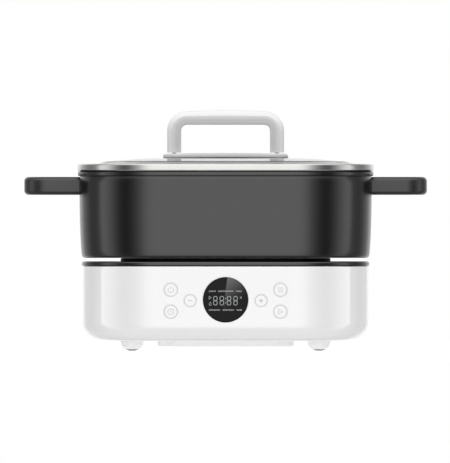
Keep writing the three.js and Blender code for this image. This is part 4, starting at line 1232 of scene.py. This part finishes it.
def makeScrews(name, row):
    spots = []
    for node in row["nodes"]:
        low, high = boxOf(node)
        spots.append((*standPoint(node)[:2], low.z))
    screw = screwShape(row, high.z - low.z)
    cloud = bpy.data.meshes.new("spots")
    cloud.from_pydata([tuple(Vector(s) * mm) for s in spots], [], [])
    spotPiece = placed("spots", cloud)
    piece = grown(name, screwRowTree, screwSockets, {"Screw": screw, "Spots": spotPiece, "Scale": 1.0})
    bpy.data.objects.remove(screw)
    bpy.data.objects.remove(spotPiece)
    smoothShade(piece.data, 35)
    seat(piece, material["plainSteel"], row["body"], "steel", *row["nodes"])


for rowName, row in screwRows.items():
    makeScrews(rowName, row)


def makeWashers():
    for side in ("left", "right"):
        low, high = boxOf("lid_washer_" + side)
        middle = ((low.x + high.x) / 2, 0, 0)
        profile = [(2.4, low.z), (6.7, low.z), (7, low.z + 0.3), (7, high.z - 0.2), (6.8, high.z), (2.4, high.z)]
        seat(turn("lid_seal_" + side, profile, middle, "Z", 48), material["gasketDark"], "lid", "silicone",
             "lid_washer_" + side)


makeWashers()


# mains inlet

inlet = {"halfX": 16, "halfZ": 12, "wall": 2.3, "chamfer": 5, "depth": 20, "flangeRear": 117.1,
         "flangeFront": 114.9, "flangeOverlap": 0.6}


def makeInlet():
    low, high = boxOf("inlet_housing")
    middle = (low.z + high.z) / 2
    halfX, halfZ, wall = inlet["halfX"], inlet["halfZ"], inlet["wall"]
    body = rounded(box("inlet_body", (-halfX, low.y, middle - halfZ), (halfX, high.y, middle + halfZ)), 0.5, 2)
    x, z, c = halfX - wall, halfZ - wall, inlet["chamfer"]
    shape = [(-x, -z), (x, -z), (x, z - c), (x - c, z), (-x + c, z), (-x, z - c)]
    points = [(px, y, middle + pz) for y in (high.y + 2, high.y - inlet["depth"]) for px, pz in shape]
    faces = [tuple(range(6)), tuple(reversed(range(6, 12)))]
    faces += [(i, (i + 1) % 6, (i + 1) % 6 + 6, i + 6) for i in range(6)]
    body = cutAway(body, [outward(buildMesh("cutter", points, faces))])
    flange = box("inlet_flange", (low.x, inlet["flangeFront"], low.z), (high.x, inlet["flangeRear"], high.z))
    x, z = halfX - inlet["flangeOverlap"], halfZ - inlet["flangeOverlap"]
    flange = cutAway(flange, [box("cutter", (-x, 110, middle - z), (x, 120, middle + z))])
    seat(joined("inlet_moulding", [body, flange]), material["inletBlack"], "base", "inlet_black", "inlet_housing")
    for name in ("live", "neutral", "earth"):
        pinLow, pinHigh = boxOf("inlet_pin_" + name)
        pin = rounded(box("inlet_blade_" + name, pinLow, pinHigh), 0.7, 3)
        seat(pin, material["pinBrass"], "base", "pin_brass", "inlet_pin_" + name)


makeInlet()
print("screws and inlet made")


# carried-over inner parts

innerFinishes = {
    "plainSteel": ["heating_element", "probe_bracket", "probe_spring"],
    "brightAluminium": ["heat_reflector"],
    "moduleGrey": ["thermal_cutout", "display_module", "relay"] + ["key_switch_" + name for name in keyNames],
    "boardGreen": ["control_board", "power_board"],
}
for finishName, nodeNames in innerFinishes.items():
    for nodeName in nodeNames:
        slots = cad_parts[nodeName].material_slots
        for slotItem in slots:
            slotItem.material = material[finishName]
print("inner parts painted")


# studio

studio = {"floorHalf": 1600, "floorColor": 0.35, "floorGlow": 0.7, "floorLift": 0.15,
          "edgeAt": -0.085, "edgeLean": 0.4, "edgeSoft": 0.006, "bandFrom": 0.3, "bandTo": 0.7,
          "downFront": 0.35, "downRear": 0.3}
# brightness of the studio by degrees round from the front: the lit side, the side behind, and overhead
lightTable = {
    "front": [(0, 1.42), (14, 1.28), (25, 0.62), (33, 0.3), (41, 0.11), (49, 0.04), (57, 0.15), (65, 0.44),
              (73, 0.78), (80, 1.0), (86, 1.2), (92, 1.4), (99, 1.5)],
    "rear": [(95, 0.28), (105, 0.27), (113, 0.22), (121, 0.26), (128, 0.42), (135, 0.55), (142, 0.6),
             (150, 1.05), (162, 1.1), (172, 1.1), (180, 1.05)],
    "top": [(0, 1.8), (45, 1.55), (90, 0.95), (135, 0.5), (180, 0.4)],
}


def makeWorld():
    world = bpy.data.worlds.new("studioWorld")
    bpy.context.scene.world = world
    world.use_nodes = True
    tree = world.node_tree
    tree.nodes.clear()
    link = tree.links.new
    band, soft = (studio["bandFrom"], studio["bandTo"]), studio["edgeSoft"]

    def blend(share, first, second):
        node = tree.nodes.new("ShaderNodeMix")
        node.data_type = "FLOAT"
        link(share, node.inputs["Factor"])
        for socket, value in (("A", first), ("B", second)):
            if isinstance(value, (int, float)):
                node.inputs[socket].default_value = value
            else:
                link(value, node.inputs[socket])
        return node.outputs["Result"]

    coordinates = tree.nodes.new("ShaderNodeTexCoord")
    separate = tree.nodes.new("ShaderNodeSeparateXYZ")
    link(coordinates.outputs["Generated"], separate.inputs["Vector"])
    forward = mathNode(tree, "MULTIPLY", separate.outputs["Y"], -1)
    height = separate.outputs["Z"]
    angle = mathNode(tree, "ABSOLUTE", mathNode(tree, "ARCTAN2", separate.outputs["X"], forward))
    share = mathNode(tree, "DIVIDE", angle, math.pi)

    def table(name):
        # values above 1 are kept by storing a quarter of each
        stops = [(degrees / 180, (value / 4,) * 3) for degrees, value in lightTable[name]]
        return mathNode(tree, "MULTIPLY", ramp(tree, share, stops), 4)

    up = mapRange(tree, height, band, kind="SMOOTHSTEP")
    down = mapRange(tree, mathNode(tree, "MULTIPLY", height, -1), band, kind="SMOOTHSTEP")
    top = table("top")
    front = blend(down, blend(up, table("front"), top), studio["downFront"])
    rear = blend(down, blend(up, table("rear"), top), studio["downRear"])
    edge = mathNode(tree, "MULTIPLY_ADD", mathNode(tree, "ABSOLUTE", height), studio["edgeLean"],
                    studio["edgeAt"])
    inFront = mapRange(tree, mathNode(tree, "SUBTRACT", forward, edge), (-soft, soft), kind="SMOOTHSTEP")
    path = tree.nodes.new("ShaderNodeLightPath")
    background = tree.nodes.new("ShaderNodeBackground")
    background.inputs["Color"].default_value = (1, 1, 1, 1)
    lit = blend(path.outputs["Is Camera Ray"], blend(inFront, rear, front), 1.0)
    link(lit, background.inputs["Strength"])
    output = tree.nodes.new("ShaderNodeOutputWorld")
    link(background.outputs[0], output.inputs["Surface"])


def makeFloor():
    half = studio["floorHalf"]
    points = [(-half, -half, 0), (half, -half, 0), (half, half, 0), (-half, half, 0)]
    floor = buildMesh("studio_floor", points, [(0, 1, 2, 3)])
    paper = bpy.data.materials.new("floorPaper")
    paper.use_nodes = True
    tree = paper.node_tree
    tree.nodes.clear()
    link = tree.links.new
    kinds = ("OutputMaterial", "BsdfDiffuse", "Emission", "AddShader", "LightPath", "NewGeometry",
             "BsdfTransparent", "MixShader")
    output, diffuse, glow, add, path, side, clear, mix = [tree.nodes.new("ShaderNode" + kind) for kind in kinds]
    diffuse.inputs["Color"].default_value = (*[studio["floorColor"]] * 3, 1)
    lift = mathNode(tree, "MULTIPLY_ADD", path.outputs["Is Camera Ray"], studio["floorLift"],
                    studio["floorGlow"])
    link(lift, glow.inputs["Strength"])
    link(diffuse.outputs[0], add.inputs[0])
    link(glow.outputs[0], add.inputs[1])
    # the paper is clear from below, so the underside can be looked at
    link(side.outputs["Backfacing"], mix.inputs["Fac"])
    link(add.outputs[0], mix.inputs[1])
    link(clear.outputs[0], mix.inputs[2])
    link(mix.outputs[0], output.inputs["Surface"])
    floor.data.materials.append(paper)
    floor.visible_glossy = False  # gloss mirrors the studio, not the paper


makeWorld()
makeFloor()
bpy.context.scene.view_settings.view_transform = "Standard"
print("studio made")
